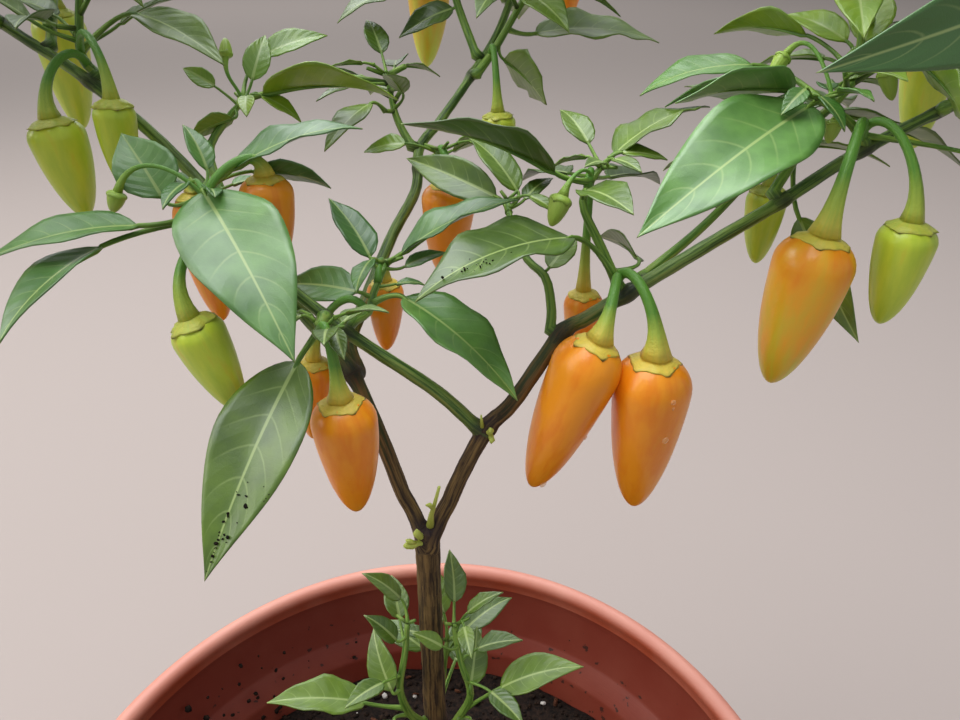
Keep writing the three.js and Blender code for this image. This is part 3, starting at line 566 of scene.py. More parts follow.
def stem_bark(name, furrow, ridge):
    """Green to brown bark: ridged lengthwise, purple-black at knots, matt where old, satin where young."""
    made, tree, shader = new_material(name, 0.6, 0.4)
    along = add_node(tree, "Attribute", attribute_name="grain").outputs["Vector"]
    years = add_node(tree, "Attribute", attribute_name="age").outputs["Fac"]
    knots_at = add_node(tree, "Attribute", attribute_name="knot").outputs["Fac"]
    stretched = add_node(tree, "Mapping", {0: along, "Scale": (1.1, 1.1, 0.06)})
    ridges = add_node(tree, "TexNoise", {"Vector": stretched, "Scale": 1.0, "Detail": 4, "Roughness": 0.65})
    crest = add_node(tree, "MapRange", {"Value": ridges, "From Min": 0.4, "From Max": 0.64})
    brown = add_node(tree, "Mix", {0: crest, 6: linear("#2C1E10"), 7: linear("#7C6238")}, data_type="RGBA")
    green = add_node(tree, "Mix", {0: crest, 6: linear(furrow), 7: linear(ridge)}, data_type="RGBA")
    patchy = add_node(tree, "Math", {0: crest, 1: 0.3, 2: years}, operation="MULTIPLY_ADD")
    old = add_node(tree, "MapRange", {"Value": patchy, "From Min": 0.3, "From Max": 0.75})
    bark = add_node(tree, "Mix", {0: old, 6: green, 7: brown}, data_type="RGBA")
    stain = add_node(tree, "MapRange", {"Value": knots_at, "From Min": 0.35, "From Max": 0.9, "To Max": 0.85})
    stained = add_node(tree, "Mix", {0: stain, 6: bark, 7: linear("#241820")}, data_type="RGBA")
    rough = add_node(tree, "MapRange", {"Value": old, "To Min": 0.42, "To Max": 0.75})
    relief = add_node(tree, "Bump", {"Height": ridges, "Strength": 0.7, "Distance": 0.0004})
    wire(tree, shader, {"Base Color": stained, "Roughness": rough, "Normal": relief})
    return made


keep_piece("trunk_and_boughs", limb_mesh, [stem_bark("chilli_bark", "#35521C", "#7E9C46")], "bark", *limbs)


# Sprays: the green side shoots. Each is a soft twig that leaves its bough at a dark joint and carries
# stalked leaves and hanging fruit. What shows in the front is listed one by one. Further shoots grow on
# by a seeded rule, first coarse ones and then finer ones between them, and keep clear of the rest.

TWIG_RADIUS = 1.5
TWIG_STEP = 11
STALK_RADIUS = 0.9
LEAF_WIDTH = 0.5
TO_FULL_WIDTH = 3.49
LEAF_ARCH = 0.07
LEAF_ROOM = 3.5
GOLDEN_TURN = 137.5
FINE_SCALE = 0.55
TIP_SCALE = 0.3
STALK_SWELL = (1.35, 1.05, 0.9, 0.8, 0.75, 0.75, 0.75, 0.7)
MIDRIB_STOPS = (0.06, 0.14, 0.22, 0.31, 0.4, 0.48, 0.56, 0.64)

# stem: places along it. leaves: share along the stem, blade's base, blade's tip, roll, width, arch.
# fruit: share along the stem, crown of the fruit, its tip, its width, its ripeness from 0 to 1, and
# how high its stalk arches where that differs.
# more: shoots grown by the seeded rule beyond those: how many, the share of the stem that they start
# from, their seed, how far from the heart of the spray they reach, and the turn of the first.
sprays = {
    "low_shoot_left": {
        "limb": "trunk",
        "stem": [[TRUNK_X, 0, 334], [0, -6, 344], [-2, -7, 357], [0, -5, 370], [1, -2, 380]],
        "leaves": [
            [1, [-1, 2, 386], [-12, 3, 396], 5], [0.9, [-2, -6, 377], [-11, -5, 387], 15],
            [0.5, [-4, -10, 359], [-11, 4, 371], 40], [0.3, [-13, -8, 351], [-42, -13, 358], -5, 15],
            [0.2, [-4, -11, 347], [-2, -32, 352], 10, 13], [0.6, [-6, -12, 366], [-16, -22, 368], 0],
            [0.8, [-2, 3, 376], [-6, 18, 380], 0],
        ],
    },
    "low_shoot_right": {
        "limb": "trunk",
        "stem": [[TRUNK_X, 0, 330], [16, -6, 341], [20, -7, 354], [17, -5, 367], [15, -1, 378]],
        "leaves": [
            [1, [15, 5, 381], [13, 19, 390], -25], [0.95, [19, 0, 382], [30, 3, 388], 10],
            [0.75, [22, -4, 371], [36, -5, 376], 10, 9], [0.5, [20, -8, 359], [22, 6, 370], -20],
            [0.35, [29, -8, 358], [54, -9, 370], 0, 14], [0.2, [20, -10, 346], [22, -30, 352], 20, 13],
            [0.85, [12, -9, 378], [3, -9, 384], 20], [0.6, [26, -12, 362], [36, -22, 360], 0],
        ],
    },
    "low_shoot_back": {
        "limb": "trunk",
        "stem": [[TRUNK_X, 0, 326], [10, 9, 338], [12, 12, 356]],
        "leaves": [
            [1, [11, 16, 364], [4, 30, 374], 0], [0.8, [18, 15, 358], [34, 26, 362], 0],
            [0.6, [4, 15, 348], [-14, 26, 350], 0], [0.3, [14, 18, 338], [22, 42, 336], 0],
        ],
    },
    "spray_low_right": {
        "limb": "right_bough",
        "stem": [[44, 19, 467], [42.5, 24, 473], [41, 29, 480], [36, 36, 483], [32, 46, 490], [31, 51, 495]],
        "leaves": [
            [0.44, [42, 31, 482], [51, 43, 486], -10], [0.92, [34, 53, 497], [20, 66, 510], 5],
            [0.88, [28, 54, 495], [0, 72, 502], 50, 12], [0.92, [36, 52, 495], [45, 62, 499], 0],
        ],
    },
    "spray_fruit_pair": {
        "limb": "right_bough",
        "stem": [[61, 25, 478], [56, 31, 488], [51, 36, 498], [53, 40, 503], [56, 42, 507]],
        "leaves": [
            [0.03, [47, 25, 493], [7, 3, 486], 3, 25, 0.08], [0.78, [43, 36, 507], [3, 31, 520], -25, 20],
            [0.55, [51, 34, 503], [60, 12, 503], -10, 12.5], [1, [53, 47, 512], [46, 61, 519], 5],
            [1, [60, 45, 510], [89, 62, 520], 10, 18], [0.85, [59, 47, 503], [78, 64, 496], 0],
            [0.85, [48, 47, 504], [36, 66, 497], 0], [0.1, [68, 38, 482], [60, 60, 481], -50],
        ],
        "fruit": [
            [0.02, [54, 10, 471], [38, 10, 423], 19, 1], [0.04, [69, 10, 466], [68, 10, 416], 21, 1],
            [0.81, [45, 33, 502], [42, 31, 494], 6, 0.1], [0.7, [54, 44, 470], [55, 44, 441], 12, 0.85],
        ],
    },
    "spray_behind_right": {
        "limb": "right_bough",
        "stem": [[68, 27, 480], [86, 42, 490], [106, 60, 502], [120, 72, 511]],
        "leaves": [
            [1, [122, 63, 486], [135, 34, 457], -55, 13], [1, [128, 84, 515], [150, 106, 512], 0],
            [0.9, [108, 78, 514], [92, 104, 518], 0], [0.45, [88, 48, 496], [92, 54, 501], 0],
        ],
        "fruit": [[0.85, [110, 60, 497], [110, 60, 472], 12, 0.22]],
        "more": [2, 0.9, 41, 60, 60],
    },
    "spray_upper_right": {
        "limb": "right_bough",
        "stem": [[105, 37, 499], [111, 46, 511], [114, 50, 516], [123, 55, 523], [128, 60, 530],
                 [127, 66, 556], [123, 70, 582]],
        "leaves": [
            [0.5, [125, 58, 527], [137, 67, 537], -15], [0.72, [131, 66, 536], [142, 84, 548], 0],
            [0.62, [127, 67, 536], [114, 83, 542], 25], [0.64, [118, 74, 537], [96, 91, 537], -35],
            [0.55, [124, 72, 531], [108, 88, 526], 0], [0.66, [139, 53, 534], [143, 24, 518], 60, 14],
        ],
        "fruit": [[0.62, [132, 52, 531], [135, 50, 523], 5, 0.1]],
        "more": [4, 0.78, 77, 58, 20],
    },
    "spray_over_fruit": {
        "limb": "right_bough",
        "stem": [[127, 43, 511], [121, 43, 519], [113, 45, 524]],
        "leaves": [
            [1, [110, 43, 523], [58, -2, 502], 20, 26, 0.04], [1, [107, 48, 526], [73, 37, 524], -35, 18],
            [0.95, [106, 56, 525], [76, 62, 520], -25, 15], [1, [101, 66, 530], [69, 65, 523], 10],
            [0.14, [155, 29, 512], [166, 4, 503], 0],
        ],
        "fruit": [
            [0.08, [113, 25, 494], [107, 25, 449], 21, 0.74],
            [0.15, [136, 27, 497], [135, 27, 467], 15, 0.25],
            [0.75, [106, 56, 534], [102, 54, 529], 4.5, 0.1],
            [0.6, [116, 40, 520], [115, 39, 514], 4.5, 0.1],
        ],
    },
    "spray_far_right": {
        "limb": "right_bough",
        "stem": [[147, 48, 520], [157, 40, 531], [165, 26, 550], [171, 12, 574]],
        "leaves": [[0.72, [138, -4, 556], [76, -35, 542], 80, 17]],
        "more": [4, 0.6, 5, 62, 300],
    },
    "spray_right_top": {
        "limb": "right_bough",
        "stem": [[178, 56, 532], [182, 64, 558], [184, 74, 590], [180, 80, 615]],
        "more": [4, 0.3, 118, 60, 80],
    },
    "spray_right_end": {
        "limb": "right_bough",
        "stem": [[205, 64, 543], [220, 70, 551], [238, 74, 572]],
        "fruit": [[0.5, [222, 54, 540], [225, 50, 496], 19, 1]],
        "more": [5, 0.2, 9, 66, 0],
    },
    "spray_right_back": {
        "limb": "right_bough",
        "stem": [[153, 49, 523], [160, 76, 540], [164, 104, 556], [162, 128, 580]],
        "fruit": [[0.55, [172, 104, 540], [176, 106, 497], 18, 0.3]],
        "more": [4, 0.4, 61, 62, 100],
    },
    "spray_right_front": {
        "limb": "right_bough",
        "stem": [[163, 51, 526], [157, 32, 558], [136, 14, 588], [116, 2, 610]],
        "more": [4, 0.62, 51, 50, 200],
    },
    "spray_front_fruit": {
        "limb": "front_branch",
        "stem": [[-17, 13, 476], [-17, 6, 477], [-16, 2, 477]],
        "leaves": [[0.8, [-22, 0, 470], [-38, -41, 437], 15, 21]],
        "fruit": [[1, [-12, -3, 461], [-10.5, -3, 425], 17, 1]],
    },
    "spray_front_knot": {
        "limb": "front_branch",
        "stem": [[-12, 12, 473], [-7, 20, 474], [-6, 25, 477], [-3, 32, 483]],
        "leaves": [
            [0.9, [-7, 31, 485], [-20, 46, 497], -5, 11], [0.6, [-10, 24, 478], [-33, 33, 476], 30],
            [1, [1, 34, 485], [34, 39, 499], 0, 17], [0.5, [2, 25, 476], [33, 4, 456], 0, 20],
            [0.95, [2, 32, 482], [14, 35, 485], -10], [0.75, [0, 27, 479], [8, 27, 479], 0],
        ],
        "fruit": [[0.8, [-5, 42, 474], [-6, 43, 450], 11, 1], [0.3, [-24, 23, 458], [-27, 24, 430], 12, 1]],
    },
    "spray_front_end": {
        "limb": "front_branch",
        "stem": [[-42, 19, 498], [-44, 20, 502], [-47, 23, 506]],
        "leaves": [
            [0.6, [-45, 19, 507], [-18, -17, 479], -10, 25], [0.9, [-57, 23, 504], [-68, 32, 518], 20, 16],
            [1, [-46, 27, 510], [-53, 35, 520], -15], [0.9, [-40, 28, 510], [-8, 39, 519], -5, 16],
            [1, [-37, 34, 508], [-18, 42, 502], 40], [0.5, [-59, 11, 501], [-88, -4, 498], 5, 16],
            [0.3, [-66, 5, 498], [-79, -22, 487], -10, 16], [1, [-52, 28, 506], [-60, 33, 508], 0],
            [0.9, [-42, 32, 505], [-34, 40, 504], 0],
        ],
        "fruit": [
            [0.8, [-33, 31, 508], [-33, 31, 481], 14, 1], [0.9, [-50, 27, 505], [-49, 27, 468], 14, 0.95],
            [0.1, [-45, -4, 484], [-37, -4, 458], 13, 0.28, 0],
            [0.6, [-66, 19, 507], [-68, 18, 502], 4.5, 0.1],
        ],
    },
    "spray_left_behind": {
        "limb": "left_bough",
        "stem": [[-55, 48, 497], [-57, 62, 507], [-52, 69, 515], [-48, 72, 519]],
        "leaves": [
            [0.9, [-56, 73, 523], [-66, 76, 528], 45], [0.8, [-50, 67, 515], [-63, 62, 510], -60],
            [1, [-46, 77, 524], [-43, 88, 536], -25], [1, [-44, 86, 530], [-25, 94, 535], -30],
            [1, [-42, 72, 521], [-1, 70, 521], 25, 22],
        ],
        "fruit": [[1, [-52, 74, 531], [-52, 77, 536], 4, 0.1]],
    },
    "spray_left_upper": {
        "limb": "left_bough",
        "stem": [[-87, 61, 526], [-90, 66, 532], [-91, 71, 541], [-88, 80, 566], [-84, 84, 592]],
        "leaves": [
            [0.4, [-98, 73, 542], [-115, 80, 546], 0], [0.5, [-92, 77, 547], [-90, 90, 556], 0],
            [0.35, [-81, 74, 540], [-66, 84, 546], 0], [0.3, [-74, 70, 543], [-47, 57, 531], -10],
            [0.4, [-101, 64, 542], [-122, 64, 552], 0],
        ],
        "fruit": [
            [0.15, [-94, 48, 519], [-91, 48, 491], 15, 0.25],
            [0.3, [-76, 48, 524], [-77, 47, 499], 11, 0.22],
        ],
        "more": [4, 0.7, 29, 58, 150],
    },
    "spray_left_front": {
        "limb": "left_bough",
        "stem": [[-113, 70, 541], [-122, 54, 548], [-136, 34, 560], [-142, 14, 582]],
        "fruit": [[0.4, [-130, 36, 535], [-134, 32, 494], 18, 1]],
        "more": [4, 0.3, 15, 66, 240],
    },
    "spray_left_top": {
        "limb": "left_bough",
        "stem": [[-124, 74, 547], [-112, 50, 572], [-90, 26, 592], [-70, 10, 612]],
        "more": [4, 0.6, 84, 50, 320],
    },
    "spray_left_end": {
        "limb": "left_bough",
        "stem": [[-160, 92, 569], [-174, 98, 578], [-188, 100, 600]],
        "fruit": [[0.3, [-178, 84, 562], [-182, 82, 520], 18, 0.8]],
        "more": [5, 0.1, 7, 66, 170],
    },
    "spray_left_back": {
        "limb": "left_bough",
        "stem": [[-100, 66, 534], [-106, 92, 550], [-112, 118, 566], [-110, 136, 592]],
        "fruit": [[0.5, [-118, 112, 542], [-120, 114, 502], 17, 0.3]],
        "more": [4, 0.35, 93, 66, 110],
    },
    "spray_middle_low": {
        "limb": "middle_bough",
        "stem": [[3, 84, 496], [9, 79, 501], [11, 74, 504]],
        "leaves": [[0.5, [14, 82, 502], [26, 90, 504], 50, 8], [0.7, [0, 74, 506], [-14, 79, 502], 30, 8]],
        "fruit": [[0.8, [13, 70, 495], [11, 70, 464], 17, 1]],
    },
    "spray_middle_left": {
        "limb": "middle_bough",
        "stem": [[3, 89, 501], [-5, 96, 510], [-8, 102, 522]],
        "leaves": [
            [1, [-10, 108, 528], [-16, 120, 538], 0], [0.9, [-14, 98, 520], [-30, 90, 516], 0],
            [0.8, [-8, 110, 516], [-18, 130, 512], 0], [0.6, [-2, 92, 518], [-6, 78, 526], 0],
        ],
        "more": [2, 0.8, 3, 46, 180],
    },
    "spray_middle_right": {
        "limb": "middle_bough",
        "stem": [[20, 108, 521], [28, 112, 529], [36, 118, 541], [52, 122, 566], [62, 122, 594]],
        "leaves": [
            [0.4, [42, 121, 533], [88, 131, 529], -15, 25], [0.3, [31, 110, 526], [45, 98, 513], 60, 19],
            [0.45, [36, 130, 541], [38, 154, 536], 0],
        ],
        "fruit": [[0.2, [29, 99, 511], [30, 99, 489], 12, 0.3]],
        "more": [4, 0.66, 57, 62, 30],
    },
    "spray_middle_top": {
        "limb": "middle_bough",
        "stem": [[23, 113, 526], [14, 124, 546], [6, 134, 576], [4, 138, 612], [6, 138, 640]],
        "leaves": [[0.25, [14, 122, 541], [-5, 117, 532], 35], [0.35, [4, 120, 548], [-26, 116, 538], 20]],
        "more": [6, 0.5, 24, 74, 0],
    },
    "spray_back_end": {
        "limb": "middle_bough",
        "stem": [[47, 170, 581], [54, 184, 594], [58, 192, 618]],
        "fruit": [[0.3, [58, 196, 572], [62, 200, 532], 18, 1]],
        "more": [4, 0.1, 66, 66, 70],
    },
    "spray_back_left": {
        "limb": "middle_bough",
        "stem": [[33, 132, 545], [14, 154, 558], [-6, 176, 574], [-22, 186, 596]],
        "fruit": [[0.5, [2, 176, 556], [0, 182, 514], 18, 0.6]],
        "more": [4, 0.35, 35, 66, 130],
    },
}

# Each spray's number as an owner of room, the room taken so far, and what has been grown.
owners = {name: i for i, name in enumerate(sprays)}
taken = []
leaves = {name: [] for name in sprays}
fruits = []
twigs = []


def lie_of(base, tip, roll, arch=LEAF_ARCH):
    """How a blade lies: its length and arch, and the ways ahead, to its side and out of its face."""
    ahead = tip - base
    length = ahead.length
    ahead.normalize()
    out = Vector((ahead.x, ahead.y, 0)).normalized()
    rising = Vector((-ahead.z * out.x, -ahead.z * out.y, math.hypot(ahead.x, ahead.y)))
    right = ahead.cross(rising)
    c, s = math.cos(math.radians(roll)), math.sin(math.radians(roll))
    return {"length": length, "arch": arch, "ahead": ahead,
            "side": right * c + rising * s, "face": rising * c - right * s}


def half_width(share, width):
    """Half a blade's width at a share of its length: round below, drawn out to a point."""
    return width / 2 * TO_FULL_WIDTH * share ** 0.7 * max(0, 1 - share) ** 1.2


def blade_point(base, lie, share, across, lift):
    rise = lie["arch"] * lie["length"] * 4 * share * (1 - share) + lift
    return base + lie["ahead"] * (lie["length"] * share) + lie["side"] * across + lie["face"] * rise


def bezier(*places):
    def point(t):
        level = list(places)
        while len(level) > 1:
            level = [a.lerp(b, t) for a, b in zip(level, level[1:])]
        return level[0]
    return point


def stalk_curve(node, base, lie):
    """The stalk leaves the twig, bends, and arrives in line with the blade's midrib."""
    start = (lie["ahead"] + lie["face"] * (4 * lie["arch"])).normalized()
    return bezier(node, base - start * (0.4 * (node - base).length), base)


def fruit_radius(share, width):
    return width / 2 * (1 - share ** 2.6) ** 0.8 * (1 - 0.38 * math.exp(-16 * share))


def fruit_stalk(node, calyx, tip, rise=1):
    """The arched stalk that a fruit hangs from."""
    reach = 0.45 * (node - calyx).length
    hang = (calyx - tip).normalized()
    out = Vector((calyx.x - node.x, calyx.y - node.y, 0)).normalized()
    over = node + out * (0.4 * reach) + Vector((0, 0, rise * reach))
    return bezier(node, over, calyx + hang * (1.2 * reach), calyx)


def room_of(points, radius, owner, outer=False):
    """Measuring points as rows of x, y, z, radius, owner and whether they lie out on a blade or fruit."""
    return np.array([(*point, radius, owner, outer) for point in points])


def leaf_room(node, base, lie, width, owner, clear):
    rooms = [room_of([node.lerp(base, 0.5), base], STALK_RADIUS, owner)]
    for share in (0.15, 0.32, 0.5, 0.68, 0.85, 1):
        for across in (-0.85, 0, 0.85) if share < 1 else (0,):
            point = blade_point(base, lie, share, across * half_width(share, width), 0)
            rooms.append(room_of([point], clear, owner, share > 0.3))
    return np.concatenate(rooms)


def fruit_room(node, calyx, tip, width, owner):
    stalk = fruit_stalk(node, calyx, tip)
    rooms = [room_of([stalk(i / 4) for i in range(5)], 1.2, owner)]
    for share in (0.15, 0.4, 0.65, 0.95):
        rooms.append(room_of([calyx.lerp(tip, share)], fruit_radius(share, width), owner, True))
    return np.concatenate(rooms)


def is_free(room, heart, reach):
    """Whether new points stay within reach of the spray's heart and clear of all that is taken."""
    if np.linalg.norm(room[:, :3] - np.array(heart), axis=1).max() >= reach:
        return False
    others = np.concatenate(taken)
    gaps = np.linalg.norm(room[:, None, :3] - others[None, :, :3], axis=2)
    gaps -= room[:, None, 3] + others[None, :, 3] + 1
    both_out = (room[:, None, 5] > 0) & (others[None, :, 5] > 0)
    matters = (room[:, None, 4] != others[None, :, 4]) | both_out
    return not np.any((gaps <= 0) & matters)


def dice_from(seed):
    """A whole-number rule that gives the same seeded throws wherever it is repeated."""
    state = seed

    def dice(low, high):
        nonlocal state
        state = state * 16807 % 2147483647
        return low + (high - low) * state / 2147483647

    return dice


def towards(turn, rise, length):
    turn, rise = math.radians(turn), math.radians(rise)
    return Vector((math.cos(turn) * math.cos(rise), math.sin(turn) * math.cos(rise), math.sin(rise))) * length


def place_leaf(name, node, base, tip, roll, width=None, arch=None, limits=None, clear=LEAF_ROOM):
    lie = lie_of(base, tip, roll, arch or LEAF_ARCH)
    width = width or LEAF_WIDTH * lie["length"]
    room = leaf_room(node, base, lie, width, owners[name], clear)
    if limits and not is_free(room, *limits):
        return
    taken.append(room)
    leaves[name].append((node, base, lie, width))


def grow_shoot(name, node, turn, dice, limits, scale=1):
    """A shoot: a short twig with one leaf at its end and one on either side."""
    end = node + towards(turn, dice(10, 55), dice(9, 22) * scale)
    room = room_of([node.lerp(end, 0.6), end], scale, owners[name])
    if not is_free(room, *limits):
        return
    taken.append(room)
    twigs.append(([node, node.lerp(end, 0.5), end], [1.1 * scale ** 0.5, scale ** 0.5, 0.85 * scale ** 0.5]))
    for share, swing in ((1, 0), (0.7, 70), (0.5, -70)):
        start = node.lerp(end, share)
        way = turn + swing + dice(-15, 15)
        base = start + towards(way, dice(0, 40), dice(7, 13) * scale)
        tip = base + towards(way, dice(-35, 12), dice(30, 50) * scale)
        place_leaf(name, start, base, tip, dice(-20, 20), limits=limits, clear=LEAF_ROOM * scale)


# The limbs take their room first.
for limb in limbs.values():
    steps = round(limb["length"] / 4)
    for i in range(steps + 1):
        taken.append(room_of([limb["curve"](i / steps)], limb["radius"](i / steps), -1))
# Then every spray's stem, with the leaves and the fruit that are listed for it.
for name, spray in sprays.items():
    places = [Vector(place) for place in spray["stem"]]
    heart = nearest_on(limbs[spray["limb"]], places[0])[1]
    places[0] = foot_on(limbs[spray["limb"]], places, TWIG_RADIUS)
    stem = spray["curve"] = curve_through(places)
    length = length_of(stem)
    checks = 5 * math.ceil(length / TWIG_STEP)
    taken.append(room_of([stem(i / checks) for i in range(checks + 1)], TWIG_RADIUS, owners[name]))
    steps = max(6, round(length / 2.5))
    points = [heart, *[stem(i / steps) for i in range(steps + 1)]]
    radii = [TWIG_RADIUS * (1 - 0.45 * i / steps) for i in range(steps + 1)]
    twigs.append((points, [TWIG_RADIUS * 1.2, radii[0] * 1.35, *radii[1:]]))
    for share, base, tip, roll, *size in spray.get("leaves", []):
        place_leaf(name, stem(share), Vector(base), Vector(tip), roll, *size)
    for share, calyx, tip, width, *ripeness in spray.get("fruit", []):
        taken.append(fruit_room(stem(share), Vector(calyx), Vector(tip), width, owners[name]))
        fruits.append((stem(share), Vector(calyx), Vector(tip), width, *ripeness))
# Then the shoots that the rule grows, all the coarse ones before the finer ones between them.
for scale in (1, FINE_SCALE):
    for name, spray in sprays.items():
        if "more" not in spray:
            continue
        count, start, seed, reach, first_turn = spray["more"]
        limits = (spray["curve"]((start + 1) / 2), reach)
        if scale == FINE_SCALE:
            seed, count, start, first_turn = seed + 500, 3 * count, 0.6 * start, first_turn + 65
        dice = dice_from(seed)
        for i in range(count):
            share = start + (1 - start) * (i + 1) / count
            grow_shoot(name, spray["curve"](share), first_turn + i * GOLDEN_TURN, dice, limits, scale)
# And last a tuft of the youngest leaves at each tip.
for name, spray in sprays.items():
    dice = dice_from(owners[name] + 900)
    tip = spray["curve"](1)
    for i in range(3):
        grow_shoot(name, tip, i * GOLDEN_TURN + dice(0, 90), dice, (tip, 30), TIP_SCALE)

twig_shape = bmesh.new()
twig_layers = [twig_shape.verts.layers.float_vector.new("grain"), twig_shape.verts.layers.float.new("age"),
               twig_shape.verts.layers.float.new("knot")]
for points, radii in twigs:
    marks = [(0.12, math.exp(-i / 1.2) * 0.9) for i in range(len(points))]
    tube(twig_shape, points, radii, 12, twig_layers, marks)
for name in sprays:
    for node, base, lie, width in leaves[name]:
        size = min(1, 0.35 + lie["length"] / 60)
        stalk = stalk_curve(node, base, lie)
        points = [stalk(i / 7) for i in range(8)]
        radii = [size * swell for swell in STALK_SWELL]
        # The midrib runs on under the blade and sinks into it towards the tip.
        for share in MIDRIB_STOPS:
            radii.append(size * 0.62 * (1 - share / 0.66) ** 0.6)
            points.append(blade_point(base, lie, share, 0, -0.2 - radii[-1]))
        marks = [(0.0, 0.5 * math.exp(-i / 0.8)) for i in range(len(points))]
        tube(twig_shape, points, radii, 8, twig_layers, marks)
keep_piece("green_twigs", mesh_of("green_twigs", twig_shape), [
    stem_bark("young_green_bark", "#4A7024", "#8CB04A")], "green_bark")


# Leaves: soft, thin, pointed ovals, folded a little along a pale midrib, quilted between the side
# veins and wavy at the margin. The upper skin is waxy and mid green. The underside is matt and yellower,
# and painted brighter still for the light that shines through the thin blade.

LEAF_THICKNESS = 0.35
VEIN_PAIRS = 7
BLADE_COLUMNS = 12
leaf_rng = np.random.default_rng(12)

# Each tone: the upper skin's dark and light green, and the underside's green, painted extra bright as light
# shining through the blade.
leaf_tones = {
    "mid": ("#446408", "#76961A", "#AACC2A"),
    "blue": ("#3A6A20", "#6B9C44", "#A2C846"),
    "fresh": ("#688E12", "#9CBA28", "#BEDC34"),
    "deep": ("#3E5C06", "#6A8A12", "#A2C222"),
}
toned_sprays = {
    "blue": ["spray_front_end", "spray_left_front", "spray_far_right", "spray_front_knot",
             "spray_right_front", "spray_over_fruit"],
    "fresh": ["spray_upper_right", "spray_middle_low", "spray_right_top", "spray_left_behind"],
    "deep": ["spray_fruit_pair", "spray_front_fruit", "spray_middle_top", "spray_left_top",
             "spray_right_back"],
}


def leaf_skin(name, dark, light, vein, roughness, upper):
    """A leaf's waxy skin: a thin pale midrib, faint curved side veins, soft quilting between them."""
    made, tree, shader = new_material(name, roughness, 1.0 if upper else 0.4)
    blade = add_node(tree, "Attribute", attribute_name="blade").outputs["Vector"]
    ways = add_node(tree, "Attribute", attribute_name="veins").outputs["Vector"]
    own = add_node(tree, "Attribute", attribute_name="tone").outputs["Fac"]
    phase, out, off_midrib = add_node(tree, "SeparateXYZ", {0: ways}).outputs
    off_vein = add_node(tree, "Math", {0: phase, 1: 0.5}, operation="PINGPONG")
    line = add_node(tree, "MapRange", {"Value": off_vein, "From Min": 0.06, "From Max": 0.01, "To Max": 0.3})
    inward = add_node(tree, "MapRange", {"Value": out, "From Min": 0.95, "From Max": 0.3})
    side_veins = add_node(tree, "Math", {0: line, 1: inward}, operation="MULTIPLY")
    midrib = add_node(tree, "MapRange", {"Value": off_midrib, "From Min": 0.6, "From Max": 0.35,
                                         "To Max": 0.7})
    veins = add_node(tree, "Math", {0: side_veins, 1: midrib}, operation="MAXIMUM")
    mottled = add_node(tree, "TexNoise", {"Vector": blade, "Scale": 0.14, "Detail": 4})
    patch = add_node(tree, "Math", {0: mottled, 1: 1.5, 2: own}, operation="MULTIPLY_ADD")
    green = add_node(tree, "Mix", {0: patch, 6: linear(dark), 7: linear(light)}, data_type="RGBA",
                     clamp_factor=True)
    paint = add_node(tree, "Mix", {0: veins, 6: green, 7: linear(vein)}, data_type="RGBA", clamp_factor=True)
    cells = add_node(tree, "TexVoronoi", {"Vector": blade, "Scale": 0.8}, feature="DISTANCE_TO_EDGE")
    net = add_node(tree, "MapRange", {"Value": cells, "From Max": 0.12, "To Min": -0.05, "To Max": 0.0})
    outward = add_node(tree, "MapRange", {"Value": out, "From Max": 0.5, "To Max": 0.9})
    height = add_node(tree, "Math", {0: off_vein, 1: outward, 2: net}, operation="MULTIPLY_ADD")
    relief = add_node(tree, "Bump", {"Height": height, "Strength": 0.35, "Distance": 0.0005},
                      invert=not upper)
    wire(tree, shader, {"Base Color": paint, "Normal": relief})
    return made


def leaf_blade(bm, layers, base, lie, width):
    """One blade as a single sheet, its face up."""
    waves = leaf_rng.uniform(1.6, 2.8)
    swell = leaf_rng.uniform(0.03, 0.11)
    shift = leaf_rng.uniform(0, 2 * math.pi, 2)
    fold = leaf_rng.uniform(0.17, 0.34)
    curl = leaf_rng.uniform(-0.05, 0.03)
    own = leaf_rng.uniform(0.1, 0.9)
    rows = max(8, min(24, round(lie["length"] / 2.4)))

    def place(u, v):
        share = (v + (1 - math.cos(math.pi * v)) / 2) / 2
        ratio = 2 * u - 1
        half = half_width(share, width)
        ruffle = swell * half * ratio ** 2 * math.sin(2 * math.pi * waves * share + shift[int(ratio > 0)])
        lift = fold * half * (math.sqrt(ratio ** 2 + 0.02) - 0.14) + ruffle
        lift += curl * lie["length"] * share ** 6
        point = blade_point(base, lie, share, ratio * half * (1 - 0.3 * fold ** 2), lift)
        out = abs(ratio)
        phase = VEIN_PAIRS * (share - 0.2 * out ** 1.35) + 0.3 * ratio
        off_midrib = out * half + 0.35 * share
        return point, (ratio * half, share * lie["length"], own * 90), (phase, out, off_midrib), own - 1.0

    skin(bm, BLADE_COLUMNS, rows, place, layers)


# The cut of the blade shows as a thin pale line round it.
leaf_edge = new_material("leaf_margin", 0.5, **{"Base Color": linear("#8DA65A")})[0]
leaf_materials = {}
# The underside colours are partly the leaf's own paler green and partly painted light, standing in for light
# shining through the thin blade.
for tone, (dark, light, under) in leaf_tones.items():
    leaf_materials[tone] = [
        leaf_skin("leaf_upper_" + tone, dark, light, "#A9BE70", 0.4, True),
        leaf_skin("leaf_under_painted_backlit_" + tone, under, under, "#BCCB84", 0.62, False),
        leaf_edge,
    ]
for name in sprays:
    tone = next((tone for tone, names in toned_sprays.items() if name in names), "mid")
    bm = bmesh.new()
    for layer in ("blade", "veins"):
        bm.verts.layers.float_vector.new(layer)
    bm.verts.layers.float.new("tone")
    layers = [*bm.verts.layers.float_vector.values(), bm.verts.layers.float["tone"]]
    for _, base, lie, width in leaves[name]:
        leaf_blade(bm, layers, base, lie, width)
    blades = applied(mesh_of(name, bm, outward=False), name, [
        ("SOLIDIFY", {"thickness": LEAF_THICKNESS * MM, "offset": -1, "material_offset": 1,
                      "material_offset_rim": 2})])
    keep_piece(name + "_leaves", blades, leaf_materials[tone], "leaf", name)


